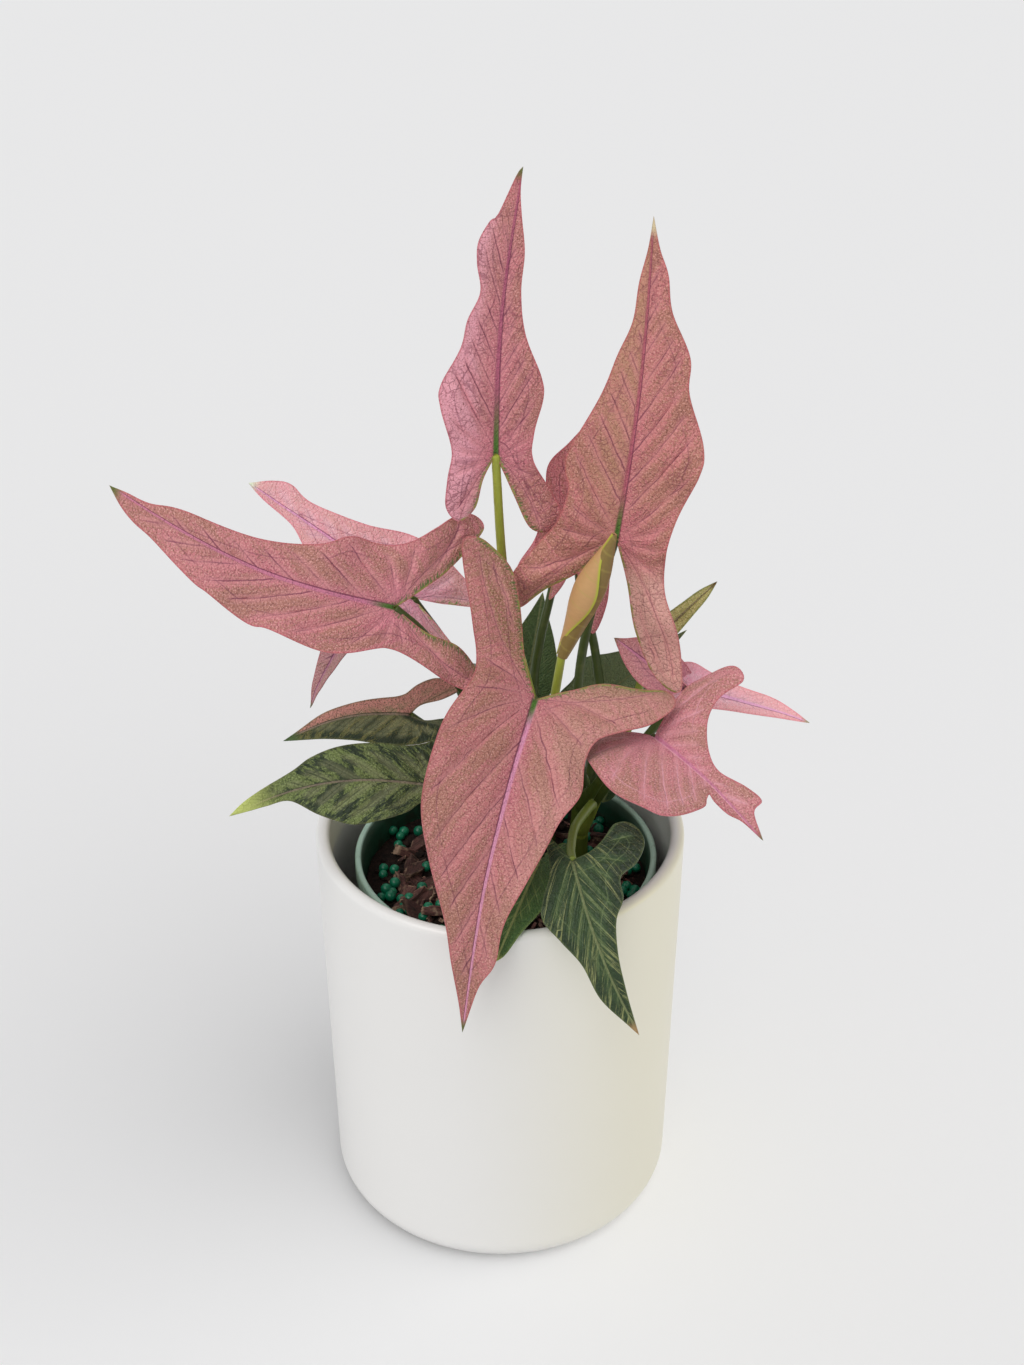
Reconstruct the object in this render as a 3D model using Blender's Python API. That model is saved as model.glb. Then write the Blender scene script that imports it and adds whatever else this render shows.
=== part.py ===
"""Arrowhead plant with pink and marbled leaves in a plain white cachepot.

Sizes are millimetres, turned into metres when each mesh is made. +Z is up, the front is -Y,
and the origin is the centre of the cachepot's flat underside.
"""
import math
import random

import bmesh
import bpy
import numpy as np
from mathutils import Matrix, Vector
from mathutils.geometry import delaunay_2d_cdt

MM = 0.001
CLEARANCE = 0.3

POT_RADIUS = 60.0
POT_BASE_RADIUS = 58.0
POT_HEIGHT = 141.5
POT_WALL = 4.5
POT_FLOOR = 7.0
POT_LIP_ROUND = 2.25
POT_FOOT_ROUND = 9.0
POT_SIDES = 48

GROW_POT_RIM_RADIUS = 49.5
GROW_POT_TOP_RADIUS = 48.8
GROW_POT_BASE_RADIUS = 39.0
GROW_POT_TOP = 130.5
GROW_POT_WALL = 1.3
GROW_POT_RIM_DROP = 6.0
GROW_POT_OFFSET = 1.8
GROW_POT_SIDES = 40
DRAIN_HOLES = 6
DRAIN_HOLE_RADIUS = 4.0
DRAIN_CIRCLE = 24.0

SOIL_TOP = 120.0
SOIL_SIDES = 32
CHIP_COUNT = 20
PRILL_COUNT = 34
PRILL_RADIUS = 1.8
HOLE_DEPTH = 12.0

BLADE_THICKNESS = 0.8
BLADE_CELL = 9.0
EDGE_BAND = 0.42
RIPPLE_LENGTH = 24.0
LOBE_HINGE = 16.0
STEM_SIDES = 12
STEM_TAPER = 0.75
STALK_RADIUS = 1.35
STALK_ROOT_GROWTH = 1.5
STALK_SIDES = 8
SEAT_GAP = CLEARANCE * 1.3

STEMS = {
    "shoot_left": dict(foot=(4, 14), top=(0, 12, 158), radius=3.6),
    "shoot_middle": dict(foot=(15, 18), top=(14, 16, 166), radius=3.8),
    "shoot_right": dict(foot=(26, 11), top=(27, 11, 154), radius=3.6),
}

# Each leaf: base and tip of its midrib, the way its upper side faces, how far the midrib arches
# and the two halves fold up in degrees, and its flat outline on both sides from the tip to the
# base, as (across, along) with the lobes at negative along. The stalk runs from the stem to the base.
LEAVES = {
    "leaf_top": dict(
        base=(-1, 5, 270), tip=(7, 22, 351), face=(0.1, -0.9, 0.4), arch=22, fold=(12, -6), sway=-2.5,
        left=((1.5, 81), (5, 70), (7, 68), (9.5, 62), (9, 56), (7, 48), (10, 40), (11.5, 32), (17, 21),
              (17, 15), (13.5, 2), (14, -8), (13.5, -17), (9, -21.5), (4.5, -17), (3, -8)),
        right=((0.5, 77), (2, 70), (4.5, 60), (5, 49), (7.5, 37), (13, 25), (14, 18), (11.5, 7),
               (11.5, -1), (18, -11), (22, -18), (19, -24), (13, -23), (7, -13)),
        shoot="shoot_middle", stalk=((14, 16, 152), (11, 16, 175), (5, 16, 202), (1, 14, 229)),
        ripple=0.5, colour="pink"),
    "leaf_upper_right": dict(
        base=(35, 0, 245), tip=(44, 18, 338), face=(-0.1, -0.9, 0.42), arch=24, fold=(2, 14), sway=2,
        left=((1, 87), (3, 77), (4, 66), (7.5, 56), (11, 44), (18, 27), (18.5, 20), (16.5, 14), (19, 2),
              (25.5, -8), (30, -15), (31, -24), (27, -28), (19, -19), (9.5, -12), (4, -4)),
        right=((2.5, 87), (5.5, 80), (7.5, 70), (14, 58), (15, 48), (21.5, 33), (21.5, 25), (17, 9),
               (16, -3), (17, -14), (22, -25), (25, -37), (26, -45), (22, -46), (15, -41), (9, -29),
               (5, -14)),
        shoot="shoot_right", stalk=((27, 10, 145), (25, 8, 170), (25, 7, 192), (28, 6, 215)),
        ripple=0.6, colour="pink"),
    "leaf_upper_rear": dict(
        base=(24, 20, 228), tip=(44, 28, 285), face=(-0.2, -0.8, 0.5), arch=18, fold=(14, 14), sway=0,
        left=((3, 56), (9, 47), (14, 35), (18, 25), (14, 12), (14, 2), (12, -10), (6, -9)),
        right=((3, 48), (8, 34), (12, 20), (12, 6), (15, -8), (14, -20), (6, -12)),
        shoot="shoot_right", stalk=((27, 13, 138), (33, 24, 165), (31, 29, 189), (26, 27, 212)),
        ripple=0.5, colour="pink"),
    "leaf_left_large": dict(
        base=(-31, -12, 228), tip=(-110, -22, 273), face=(0, -0.8, 0.6), arch=24, fold=(14, 8), sway=-6,
        left=((3.5, 87), (5.5, 82), (7, 75), (12, 61), (13, 56), (16.5, 42), (16, 36), (18, 20), (17, 12),
              (13, 0), (12.5, -9), (15, -25), (14, -34), (8, -34), (3, -25), (3, -12)),
        right=((1, 87), (2, 80), (5.5, 70), (8.5, 47), (13, 31), (18, 23), (18, 13), (20, 6), (26, 0),
               (32, -5), (35.5, -11), (33, -16), (24, -14), (16, -11), (7, -5)),
        shoot="shoot_left", stalk=((2, 11, 148), (-3, 5, 173), (-12, -2, 194), (-22, -7, 215)),
        ripple=0.6, colour="pink"),
    "leaf_left_back": dict(
        base=(-27, 14, 217), tip=(-77, 22, 253), face=(0, -0.7, 0.7), arch=14, fold=(20, 20), sway=0,
        left=((2, 56), (4, 44), (10, 33), (11, 14), (10, -1), (9, -14), (6, -20), (3, -12)),
        right=((5, 56), (7, 51), (6, 43), (10, 26), (16, 12), (16, -2), (12, -19), (5, -10)),
        shoot="shoot_left", stalk=((1, 13, 152), (-6, 13, 178), (-16, 15, 198)),
        ripple=0.5, colour="pink"),
    "leaf_left_hanging": dict(
        base=(-35, 34, 217), tip=(-64, 38, 162), face=(-0.5, -0.6, 0.6), arch=26, fold=(22, 22), sway=0,
        left=((3, 50), (6, 36), (9, 22), (10, 8), (8, 0), (7, -6), (3, -4)),
        right=((3, 50), (6, 36), (9, 22), (10, 8), (8, 0), (7, -6), (3, -4)),
        shoot="shoot_left", stalk=((3, 15, 140), (-8, 23, 165), (-20, 30, 190), (-30, 35, 207)),
        ripple=0.5, colour="pink"),
    "leaf_front_large": dict(
        base=(11, -20, 201), tip=(-11, -76, 118), face=(0.1, -0.86, 0.51), arch=44, fold=(12, 12), sway=4,
        lift=26,
        left=((3, 90), (7, 81), (8, 68), (15, 46), (17.5, 36), (21.5, 27), (20, 17), (21.5, 11), (28, 7),
              (36, 3), (42, -5), (39, -10), (30, -9), (19, -8.5), (10, -4.5)),
        right=((2.5, 95), (6.5, 83), (10.5, 71), (19, 54), (23.5, 44), (25.5, 35), (26, 24), (25, 12),
               (21, 0), (21, -9), (25, -20), (31.5, -36), (33, -42), (30, -44), (25, -43), (16, -37),
               (11, -27), (5.5, -11)),
        shoot="shoot_middle", stalk=((14, 14, 142), (12, 4, 160), (10, -6, 178)),
        ripple=0.6, colour="pink"),
    "leaf_right_low": dict(
        base=(47, -22, 189), tip=(77, -60, 177), face=(0.15, -0.75, 0.65), arch=40, fold=(18, 18), sway=0,
        left=((3.5, 43), (7.5, 42), (7, 36), (4.5, 27), (7, 19.5), (13, 13), (20, 11), (29, 13.5),
              (31, 9), (27, 3), (18, -3)),
        right=((1, 43), (3, 38.5), (3.5, 33), (3, 30.5), (5, 31.5), (8, 33), (18, 30.5), (22.5, 26),
               (25.5, 13), (24, 2), (20, -8), (13, -13), (6, -9)),
        shoot="shoot_right", stalk=((27, 9, 142), (34, 1, 160), (41, -10, 174)),
        ripple=0.6, colour="pink"),
    "leaf_right_tail": dict(
        base=(60, 4, 190), tip=(97, -5, 183), face=(0, -0.45, 0.9), arch=16, fold=(14, 14), sway=0,
        left=((2, 33), (4, 25), (5, 13), (7, 5), (9, -2), (6, -8), (3, -5)),
        right=((2, 32), (4, 22), (6, 12), (8, 4), (12, -2), (11, -9), (4, -5)),
        shoot="shoot_right", stalk=((27, 11, 136), (42, 10, 160), (53, 8, 178)),
        ripple=0.4, colour="pink"),
    "leaf_young_right": dict(
        base=(49, 20, 198), tip=(68, 16, 222), face=(-0.2, -0.86, 0.4), arch=10, fold=(30, 30), sway=0,
        left=((2, 25), (3, 18), (4, 10), (4, 3), (3, -4), (1, -3)),
        right=((2, 25), (3, 18), (4, 10), (4, 3), (3, -4), (1, -3)),
        shoot="shoot_right", stalk=((28, 13, 132), (40, 18, 160), (46, 21, 184)),
        ripple=0.2, colour="young"),
    "leaf_rear_middle": dict(
        base=(8, 38, 166), tip=(14, 44, 203), face=(0, -0.86, 0.51), arch=14, fold=(14, 14), sway=0,
        left=((3, 31), (7, 22), (10, 11), (8, 1), (10, -8), (7, -12), (3, -6)),
        right=((3, 31), (7, 22), (10, 11), (8, 1), (10, -8), (7, -12), (3, -6)),
        shoot="shoot_middle", stalk=((14, 20, 134), (11, 34, 145), (9, 43, 157)),
        ripple=0.3, colour="green"),
    "leaf_rear_right": dict(
        base=(33, 35, 167), tip=(61, 33, 195), face=(-0.1, -0.86, 0.51), arch=20, fold=(12, 12), sway=0,
        left=((2, 32), (5, 25), (10, 15), (14, 7), (11, -2), (10, -10), (6, -13), (2, -6)),
        right=((2, 32), (5, 25), (9, 16), (11, 7), (9, -1), (11, -8), (8, -13), (3, -6)),
        shoot="shoot_right", stalk=((27, 14, 130), (30, 28, 142), (32, 39, 156)),
        ripple=0.4, colour="green"),
    "leaf_marbled_upper": dict(
        base=(-28, -5, 186), tip=(-67, -14, 182), face=(0, -0.7, 0.7), arch=14, fold=(20, 20), sway=3,
        left=((2, 36), (4.5, 30), (8.5, 20), (12, 9), (11, -2), (10.5, -10), (7, -15), (4, -11),
              (3, -4)),
        right=((1, 35), (3, 27), (4, 18), (5, 9), (6, 2), (9, -4), (10, -10), (8, -15), (5, -17),
               (3, -11), (2.5, -4)),
        shoot="shoot_left", stalk=((2, 11, 138), (-6, 5, 155), (-17, 1, 172)),
        ripple=0.4, colour="marbled"),
    "leaf_marbled_lower": dict(
        base=(-21, -28, 175), tip=(-82, -36, 169), face=(0, -0.75, 0.66), arch=28, fold=(12, 12), sway=5,
        left=((1, 57), (2, 50), (3, 43), (9.5, 35), (14, 26), (13, 17), (10, 9), (6, 3), (9, -4),
              (5, -4)),
        right=((2.5, 56), (5.5, 42), (8.5, 35), (10.5, 26), (11.5, 14), (11.5, 5), (14, -5), (10, -9),
               (5, -4)),
        shoot="shoot_left", stalk=((3, 11, 132), (-2, 0, 145), (-10, -12, 158)),
        ripple=0.5, colour="marbled"),
    "leaf_front_green": dict(
        base=(22, -46, 160), tip=(42, -76, 117), face=(0, -0.86, 0.51), arch=46, fold=(10, 10), sway=2,
        left=((1.5, 49), (3, 41), (5, 31), (8, 22), (12, 17), (13, 11), (19, 9), (23, 4), (21, -3),
              (16, -5), (11, -2), (6, 0)),
        right=((2, 52), (5.5, 42), (6.5, 31), (10, 22.5), (13.5, 14.5), (11.5, 8.5), (8, 3), (6.5, -3),
               (5, -10), (2, -5)),
        shoot="shoot_right", stalk=((27, 9, 132), (30, 2, 147), (24, -18, 153), (22, -34, 156)),
        ripple=0.4, colour="green"),
    "leaf_front_green_inner": dict(
        base=(13, -32, 151), tip=(-1, -66, 137), face=(0, -0.7, 0.7), arch=40, fold=(12, 12), sway=0,
        left=((2, 37), (4, 29), (7, 20), (8, 11), (6, 3), (8, -4), (5, -9), (2, -5)),
        right=((3, 35), (8, 25), (12, 15), (10, 5), (10, -4), (6, -9), (3, -5)),
        shoot="shoot_middle", stalk=((15, 15, 132), (14, 0, 144), (13, -18, 149)),
        ripple=0.3, colour="green"),
    "leaf_small_low": dict(
        base=(38, 22, 145), tip=(34, 18, 137), face=(0.3, -0.8, 0.5), arch=10, fold=(14, 14), sway=0,
        left=((2, 8), (3, 5), (2, 1)),
        right=((2, 8), (3, 5), (2, 1)),
        shoot="shoot_right", stalk=((27, 13, 130), (33, 24, 138), (37, 26, 143)),
        ripple=0.0, colour="green"),
    "leaf_rear_top": dict(
        base=(17, 42, 217), tip=(53, 92, 256), face=(-0.2, -0.5, 0.85), arch=20, fold=(14, 14), sway=0,
        left=((3, 62), (7, 48), (9, 32), (10, 18), (8, 4), (9, -7), (7, -14), (4, -7)),
        right=((3, 62), (7, 48), (9, 32), (10, 18), (8, 4), (9, -7), (7, -14), (4, -7)),
        shoot="shoot_middle", stalk=((14, 20, 150), (11, 25, 176), (13, 28, 194), (17, 37, 209)),
        ripple=0.5, colour="pink"),
    "leaf_rear_low": dict(
        base=(-2, 58, 160), tip=(-6, 108, 128), face=(0, 0.5, 0.86), arch=44, fold=(14, 14), sway=0,
        left=((3, 52), (7, 40), (10, 26), (11, 14), (8, 2), (10, -9), (7, -15), (3, -7)),
        right=((3, 52), (7, 40), (10, 26), (11, 14), (8, 2), (10, -9), (7, -15), (3, -7)),
        shoot="shoot_middle", stalk=((14, 20, 130), (6, 40, 144)),
        ripple=0.5, colour="marbled"),
    "leaf_rear_right_low": dict(
        base=(36, 58, 156), tip=(68, 105, 130), face=(0.3, 0.4, 0.86), arch=44, fold=(14, 14), sway=0,
        left=((3, 54), (7, 42), (9, 28), (10, 14), (8, 2), (10, -9), (7, -15), (3, -7)),
        right=((3, 54), (7, 42), (9, 28), (10, 14), (8, 2), (10, -9), (7, -15), (3, -7)),
        shoot="shoot_right", stalk=((27, 14, 127), (31, 28, 138), (35, 48, 151)),
        ripple=0.5, colour="green"),
}

FURLED_BASE = (19, -8, 209)
FURLED_TIP = (34, -9, 251)
FURLED_RADII = (1.6, 2.6, 3.8, 5.0, 5.2, 4.0, 2.4, 0.9)
FURLED_OPENING = 50.0
FURLED_STALK = ((15, 13, 152), (16, 5, 172), (17, -3, 190))

COLOURS = {
    "pink": (0.58, 0.25, 0.24, 1),
    "marbled": (0.20, 0.24, 0.12, 1),
    "green": (0.03, 0.09, 0.03, 1),
    "young": (0.25, 0.35, 0.12, 1),
    "furled": (0.50, 0.33, 0.12, 1),
    "stalk": (0.13, 0.27, 0.04, 1),
    "ceramic": (0.85, 0.85, 0.83, 1),
    "plastic": (0.02, 0.06, 0.045, 1),
    "soil": (0.03, 0.017, 0.012, 1),
}
ROUGHNESS = {"ceramic": 0.25, "plastic": 0.45, "soil": 0.95}


def unit(vector):
    vector = np.asarray(vector, float)
    return vector / np.linalg.norm(vector)


def smooth_path(points, per_span):
    """Catmull-Rom curve through the points."""
    points = np.asarray(points, float)
    ends = np.vstack([2 * points[0] - points[1], points, 2 * points[-1] - points[-2]])
    share = np.linspace(0, 1, per_span, endpoint=False)[:, None]
    spans = []
    for i in range(len(points) - 1):
        a, b, c, d = ends[i:i + 4]
        curve = 2 * b + (c - a) * share + (2 * a - 5 * b + 4 * c - d) * share ** 2
        spans.append(0.5 * (curve + (3 * b - a - 3 * c + d) * share ** 3))
    return np.vstack(spans + [points[-1:]])


def leaf_frame(leaf):
    """Length of the midrib and the turned axes: across, along and out of the upper side."""
    base = np.array(leaf["base"], float)
    chord = np.array(leaf["tip"], float) - base
    along = unit(chord)
    out = np.array(leaf["face"], float)
    out = unit(out - out.dot(along) * along)
    across = np.cross(along, out)
    half = math.radians(leaf["arch"]) / 2
    length = np.linalg.norm(chord) * half / math.sin(half)
    axes = np.stack([across, along * math.cos(half) + out * math.sin(half),
                     out * math.cos(half) - along * math.sin(half)])
    return length, axes


def bend(leaf, flat):
    """Carry flat leaf points into place: ripple, fold at the midrib, arch, then turn."""
    length, axes = leaf_frame(leaf)
    across, along = flat[:, 0], flat[:, 1]
    fold = np.radians(np.where(across < 0, *leaf["fold"]))
    edge = np.clip(np.abs(across) / 15, 0, 1.5) ** 2
    wave = leaf["ripple"] * edge * np.sin(2 * math.pi * along / RIPPLE_LENGTH + np.sign(across))
    rise = np.abs(across) * np.sin(fold) + wave
    share = np.clip(along / length, 0, 1)
    sideways = across * np.cos(fold) + leaf["sway"] * np.sin(math.pi * share)
    radius = length / math.radians(leaf["arch"])
    turn = np.maximum(along, 0) / radius
    lift = math.radians(leaf.get("lift", 0)) + 1e-6
    back = np.maximum(-along, 0)
    tilt = np.minimum(back / LOBE_HINGE, 1) * lift
    beyond = np.maximum(back - LOBE_HINGE, 0)
    forward = radius * np.sin(turn) - np.sin(tilt) * LOBE_HINGE / lift - beyond * math.cos(lift)
    upward = (1 - np.cos(tilt)) * LOBE_HINGE / lift + beyond * math.sin(lift) - radius * (1 - np.cos(turn))
    forward += rise * np.sin(turn + tilt)
    upward += rise * np.cos(turn + tilt)
    return np.array(leaf["base"], float) + np.stack([sideways, forward, upward], 1) @ axes


def leaf_outline(leaf, per_span):
    """Closed outline from the tip down the left, through the base, and up the right."""
    length = leaf_frame(leaf)[0]
    left = smooth_path([(0, length)] + [(-x, y) for x, y in leaf["left"]] + [(0, 0)], per_span)
    right = smooth_path([(0, length)] + list(leaf["right"]) + [(0, 0)], per_span)
    return np.vstack([left, right[-2:0:-1]]), len(left) - 1


def distance_to(outline, point):
    ends = np.roll(outline, -1, axis=0)
    run = ends - outline
    share = np.clip(((point - outline) * run).sum(1) / (run ** 2).sum(1), 0, 1)
    return np.linalg.norm(outline + share[:, None] * run - point, axis=1).min()


def inside(outline, point):
    ends = np.roll(outline, -1, axis=0)
    crosses = (outline[:, 1] > point[1]) != (ends[:, 1] > point[1])
    rows = outline[crosses]
    run = ends[crosses] - rows
    x = rows[:, 0] + run[:, 0] * (point[1] - rows[:, 1]) / run[:, 1]
    return (x > point[0]).sum() % 2 == 1


def leaf_triangles(leaf):
    """Flat points and triangles of a blade, with the midrib as a run of edges."""
    length = leaf_frame(leaf)[0]
    outline, base_index = leaf_outline(leaf, 2)
    count = len(outline)
    cell = min(BLADE_CELL, length / 3)
    ribs = [(0, y) for y in np.arange(length - cell, cell / 2, -cell)]
    extra = []
    low, high = outline.min(0), outline.max(0)
    for y in np.arange(low[1] + cell / 2, high[1], cell):
        for x in np.arange(cell * 0.75, max(-low[0], high[0]), cell):
            extra += [(x, y), (-x, y)]
    extra = [p for p in extra if inside(outline, p) and distance_to(outline, p) > cell * EDGE_BAND]
    points = list(outline) + ribs + extra
    chain = [0] + list(range(count, count + len(ribs))) + [base_index]
    edges = list(zip(chain[:-1], chain[1:]))
    vectors = [Vector((float(x), float(y))) for x, y in points]
    found = delaunay_2d_cdt(vectors, edges, [list(range(count))], 1, 1e-5)
    return np.array([tuple(v) for v in found[0]]), np.array(found[2])


def thicken(points, triangles, thickness):
    """Closed sheet: the same triangles on both faces and a wall round the rim."""
    corners = points[triangles]
    normals = np.cross(corners[:, 1] - corners[:, 0], corners[:, 2] - corners[:, 0])
    vertex = np.zeros_like(points)
    for i in range(3):
        np.add.at(vertex, triangles[:, i], normals)
    vertex /= np.linalg.norm(vertex, axis=1)[:, None]
    count = len(points)
    edges = {}
    for a, b, c in triangles:
        for edge in ((a, b), (b, c), (c, a)):
            edges[edge] = True
    rim = [edge for edge in edges if edge[::-1] not in edges]
    faces = [tuple(t) for t in triangles] + [tuple(count + t[::-1]) for t in triangles]
    for a, b in rim:
        faces.append((b, a, count + a))
        faces.append((b, count + a, count + b))
    verts = np.vstack([points + vertex * thickness / 2, points - vertex * thickness / 2])
    return verts, faces


def tube(path, radii, sides):
    """Round bar along a path, its rings square to the path and closed by flat caps."""
    path = np.asarray(path, float)
    runs = np.gradient(path, axis=0)
    side = unit(np.cross(runs[0], (0.31, 0.95, 0.05)))
    verts = []
    for centre, run, radius in zip(path, runs, radii):
        run = unit(run)
        side = unit(side - side.dot(run) * run)
        other = np.cross(run, side)
        for k in range(sides):
            angle = 2 * math.pi * k / sides
            verts.append(centre + radius * (math.cos(angle) * side + math.sin(angle) * other))
    faces = [tuple(reversed(range(sides)))]
    for i in range(len(path) - 1):
        for k in range(sides):
            a = i * sides + k
            b = i * sides + (k + 1) % sides
            faces.append((a, b, b + sides, a + sides))
    faces.append(tuple(range((len(path) - 1) * sides, len(path) * sides)))
    return np.array(verts), faces


def material(name):
    if name in bpy.data.materials:
        return bpy.data.materials[name]
    made = bpy.data.materials.new(name)
    made.use_nodes = True
    shader = made.node_tree.nodes["Principled BSDF"]
    shader.inputs["Base Color"].default_value = COLOURS[name]
    shader.inputs["Roughness"].default_value = ROUGHNESS.get(name, 0.5)
    shader.inputs["Metallic"].default_value = 0.0
    return made


def add_object(name, verts, faces, colour):
    mesh = bpy.data.meshes.new(name)
    mesh.from_pydata([tuple(v) for v in np.asarray(verts) * MM], [], [tuple(map(int, f)) for f in faces])
    made = bpy.data.objects.new(name, mesh)
    bpy.context.scene.collection.objects.link(made)
    mesh.materials.append(material(colour))
    shell = bmesh.new()
    shell.from_mesh(mesh)
    bmesh.ops.recalc_face_normals(shell, faces=shell.faces)
    shell.to_mesh(mesh)
    shell.free()
    mesh.shade_smooth()
    mesh.set_sharp_from_angle(angle=math.radians(35))
    return made


def apply_modifiers(made):
    graph = bpy.context.evaluated_depsgraph_get()
    done = bpy.data.meshes.new_from_object(made.evaluated_get(graph))
    made.modifiers.clear()
    made.data = done


def combine(made, others, operation, solver="EXACT"):
    """One Boolean of the object with all the others, which are then removed."""
    group = bpy.data.collections.new(made.name + "_parts")
    bpy.context.scene.collection.children.link(group)
    for other in others:
        bpy.context.scene.collection.objects.unlink(other)
        group.objects.link(other)
    cut = made.modifiers.new("combine", "BOOLEAN")
    cut.operation = operation
    cut.operand_type = "COLLECTION"
    cut.collection = group
    cut.solver = solver
    apply_modifiers(made)
    for other in others:
        bpy.data.objects.remove(other)
    bpy.data.collections.remove(group)


def turned(name, profile, sides, colour, centre=(0, 0)):
    """Solid of revolution from a profile that starts and ends on the axis."""
    ring = bpy.data.meshes.new(name)
    edges = [(i, i + 1) for i in range(len(profile) - 1)]
    ring.from_pydata([(x * MM, 0, z * MM) for x, z in profile], edges, [])
    made = bpy.data.objects.new(name, ring)
    bpy.context.scene.collection.objects.link(made)
    made.location = (centre[0] * MM, centre[1] * MM, 0)
    screw = made.modifiers.new("turn", "SCREW")
    screw.steps = sides
    screw.render_steps = sides
    screw.use_merge_vertices = True
    screw.merge_threshold = 0.00001
    screw.use_smooth_shade = True
    apply_modifiers(made)
    made.data.materials.append(material(colour))
    made.data.set_sharp_from_angle(angle=math.radians(35))
    return made


def arc(centre, radius, start, end, steps):
    angles = [math.radians(start + (end - start) * i / steps) for i in range(steps + 1)]
    return [(centre[0] + radius * math.cos(a), centre[1] + radius * math.sin(a)) for a in angles]


def make_cachepot():
    lip = POT_LIP_ROUND
    inner = POT_RADIUS - POT_WALL
    inner_base = POT_BASE_RADIUS - POT_WALL
    profile = [(0, POT_FLOOR)]
    profile += arc((inner_base - 5, POT_FLOOR + 5), 5, -90, 0, 3)
    profile += arc((inner + lip, POT_HEIGHT - lip), lip, 180, 0, 5)
    profile += arc((POT_BASE_RADIUS - POT_FOOT_ROUND, POT_FOOT_ROUND), POT_FOOT_ROUND, 0, -90, 4)
    profile += [(0, 0)]
    return turned("cachepot", profile, POT_SIDES, "ceramic")


def grow_pot_radius(z):
    share = (z - POT_FLOOR) / (GROW_POT_TOP - POT_FLOOR)
    return GROW_POT_BASE_RADIUS + (GROW_POT_TOP_RADIUS - GROW_POT_BASE_RADIUS) * share


def make_grow_pot():
    foot = POT_FLOOR + CLEARANCE
    floor = foot + GROW_POT_WALL
    under_rim = GROW_POT_TOP - GROW_POT_RIM_DROP
    profile = [
        (0, floor),
        (grow_pot_radius(floor) - GROW_POT_WALL, floor),
        (GROW_POT_TOP_RADIUS - GROW_POT_WALL, GROW_POT_TOP),
        (GROW_POT_RIM_RADIUS, GROW_POT_TOP),
        (GROW_POT_RIM_RADIUS, under_rim),
        (grow_pot_radius(under_rim), under_rim),
        (grow_pot_radius(foot), foot),
        (0, foot),
    ]
    made = turned("grow_pot", profile, GROW_POT_SIDES, "plastic", (GROW_POT_OFFSET, 0))
    drills = []
    for k in range(DRAIN_HOLES):
        angle = 2 * math.pi * k / DRAIN_HOLES
        spot = (GROW_POT_OFFSET + DRAIN_CIRCLE * math.cos(angle), DRAIN_CIRCLE * math.sin(angle))
        path = [(*spot, foot - 2), (*spot, floor + 2)]
        drills.append(add_object("drill", *tube(path, [DRAIN_HOLE_RADIUS] * 2, 12), "plastic"))
    combine(made, drills, "DIFFERENCE")
    return made


def clear_of_stems(x, y, margin):
    return all(math.hypot(x - s["foot"][0], y - s["foot"][1]) > s["radius"] + margin for s in STEMS.values())


def scatter(count, reach, margin, spacing, draw):
    """Seeded spots on the soil, clear of the stems and of each other."""
    spots = []
    while len(spots) < count:
        angle = draw.uniform(0, 2 * math.pi)
        far = reach * math.sqrt(draw.random())
        x, y = GROW_POT_OFFSET + far * math.cos(angle), far * math.sin(angle)
        if clear_of_stems(x, y, margin) and all(math.dist((x, y), s) > spacing for s in spots):
            spots.append((x, y))
    return spots


def make_chip(x, y, draw):
    """One bark chip: a six-sided block, tilted and half sunk in the soil."""
    length, width, height = draw.uniform(9, 19), draw.uniform(4, 7), draw.uniform(3, 5)
    shell = bmesh.new()
    bmesh.ops.create_cube(shell, size=1)
    for vert in shell.verts:
        vert.co.x *= length * draw.uniform(0.75, 1)
        vert.co.y *= width * draw.uniform(0.7, 1)
        vert.co.z *= height * draw.uniform(0.8, 1)
    heading = Matrix.Rotation(draw.uniform(0, math.pi), 4, "Z")
    tilt = Matrix.Rotation(draw.uniform(-0.3, 0.3), 4, "Y")
    shell.transform(heading @ tilt)
    bmesh.ops.triangulate(shell, faces=shell.faces)
    verts = [np.array(v.co) + (x, y, SOIL_TOP + 0.4) for v in shell.verts]
    faces = [[v.index for v in f.verts] for f in shell.faces]
    shell.free()
    return add_object("chip", verts, faces, "soil")


def make_prill(x, y, z):
    shell = bmesh.new()
    bmesh.ops.create_icosphere(shell, subdivisions=1, radius=PRILL_RADIUS)
    verts = [np.array(v.co) + (x, y, z) for v in shell.verts]
    faces = [[v.index for v in f.verts] for f in shell.faces]
    shell.free()
    return add_object("prill", verts, faces, "soil")


def make_soil():
    floor = POT_FLOOR + CLEARANCE + GROW_POT_WALL + CLEARANCE
    shrink = GROW_POT_WALL + CLEARANCE + 0.4
    profile = [(0, SOIL_TOP), (20, SOIL_TOP + 0.6), (36, SOIL_TOP - 0.4)]
    profile += [(grow_pot_radius(SOIL_TOP) - shrink, SOIL_TOP - 1.5)]
    profile += [(grow_pot_radius(floor) - shrink, floor), (0, floor)]
    made = turned("soil", profile, SOIL_SIDES, "soil", (GROW_POT_OFFSET, 0))
    draw = random.Random(11)
    chips = [make_chip(x, y, draw) for x, y in scatter(CHIP_COUNT, 30, 10, 6, draw)]
    prills = []
    for x, y in scatter(PRILL_COUNT, 39, 4, 4.4, draw):
        prills.append(make_prill(x, y, SOIL_TOP + draw.uniform(0.4, 1.2)))
    combine(made, chips + prills, "UNION")
    holes = []
    for stem in STEMS.values():
        x, y = stem["foot"]
        path = [(x, y, SOIL_TOP - HOLE_DEPTH), (x, y, SOIL_TOP + 8)]
        holes.append(add_object("hole", *tube(path, [stem["radius"] + SEAT_GAP] * 2, STEM_SIDES), "soil"))
    combine(made, holes, "DIFFERENCE")
    return made


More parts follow.
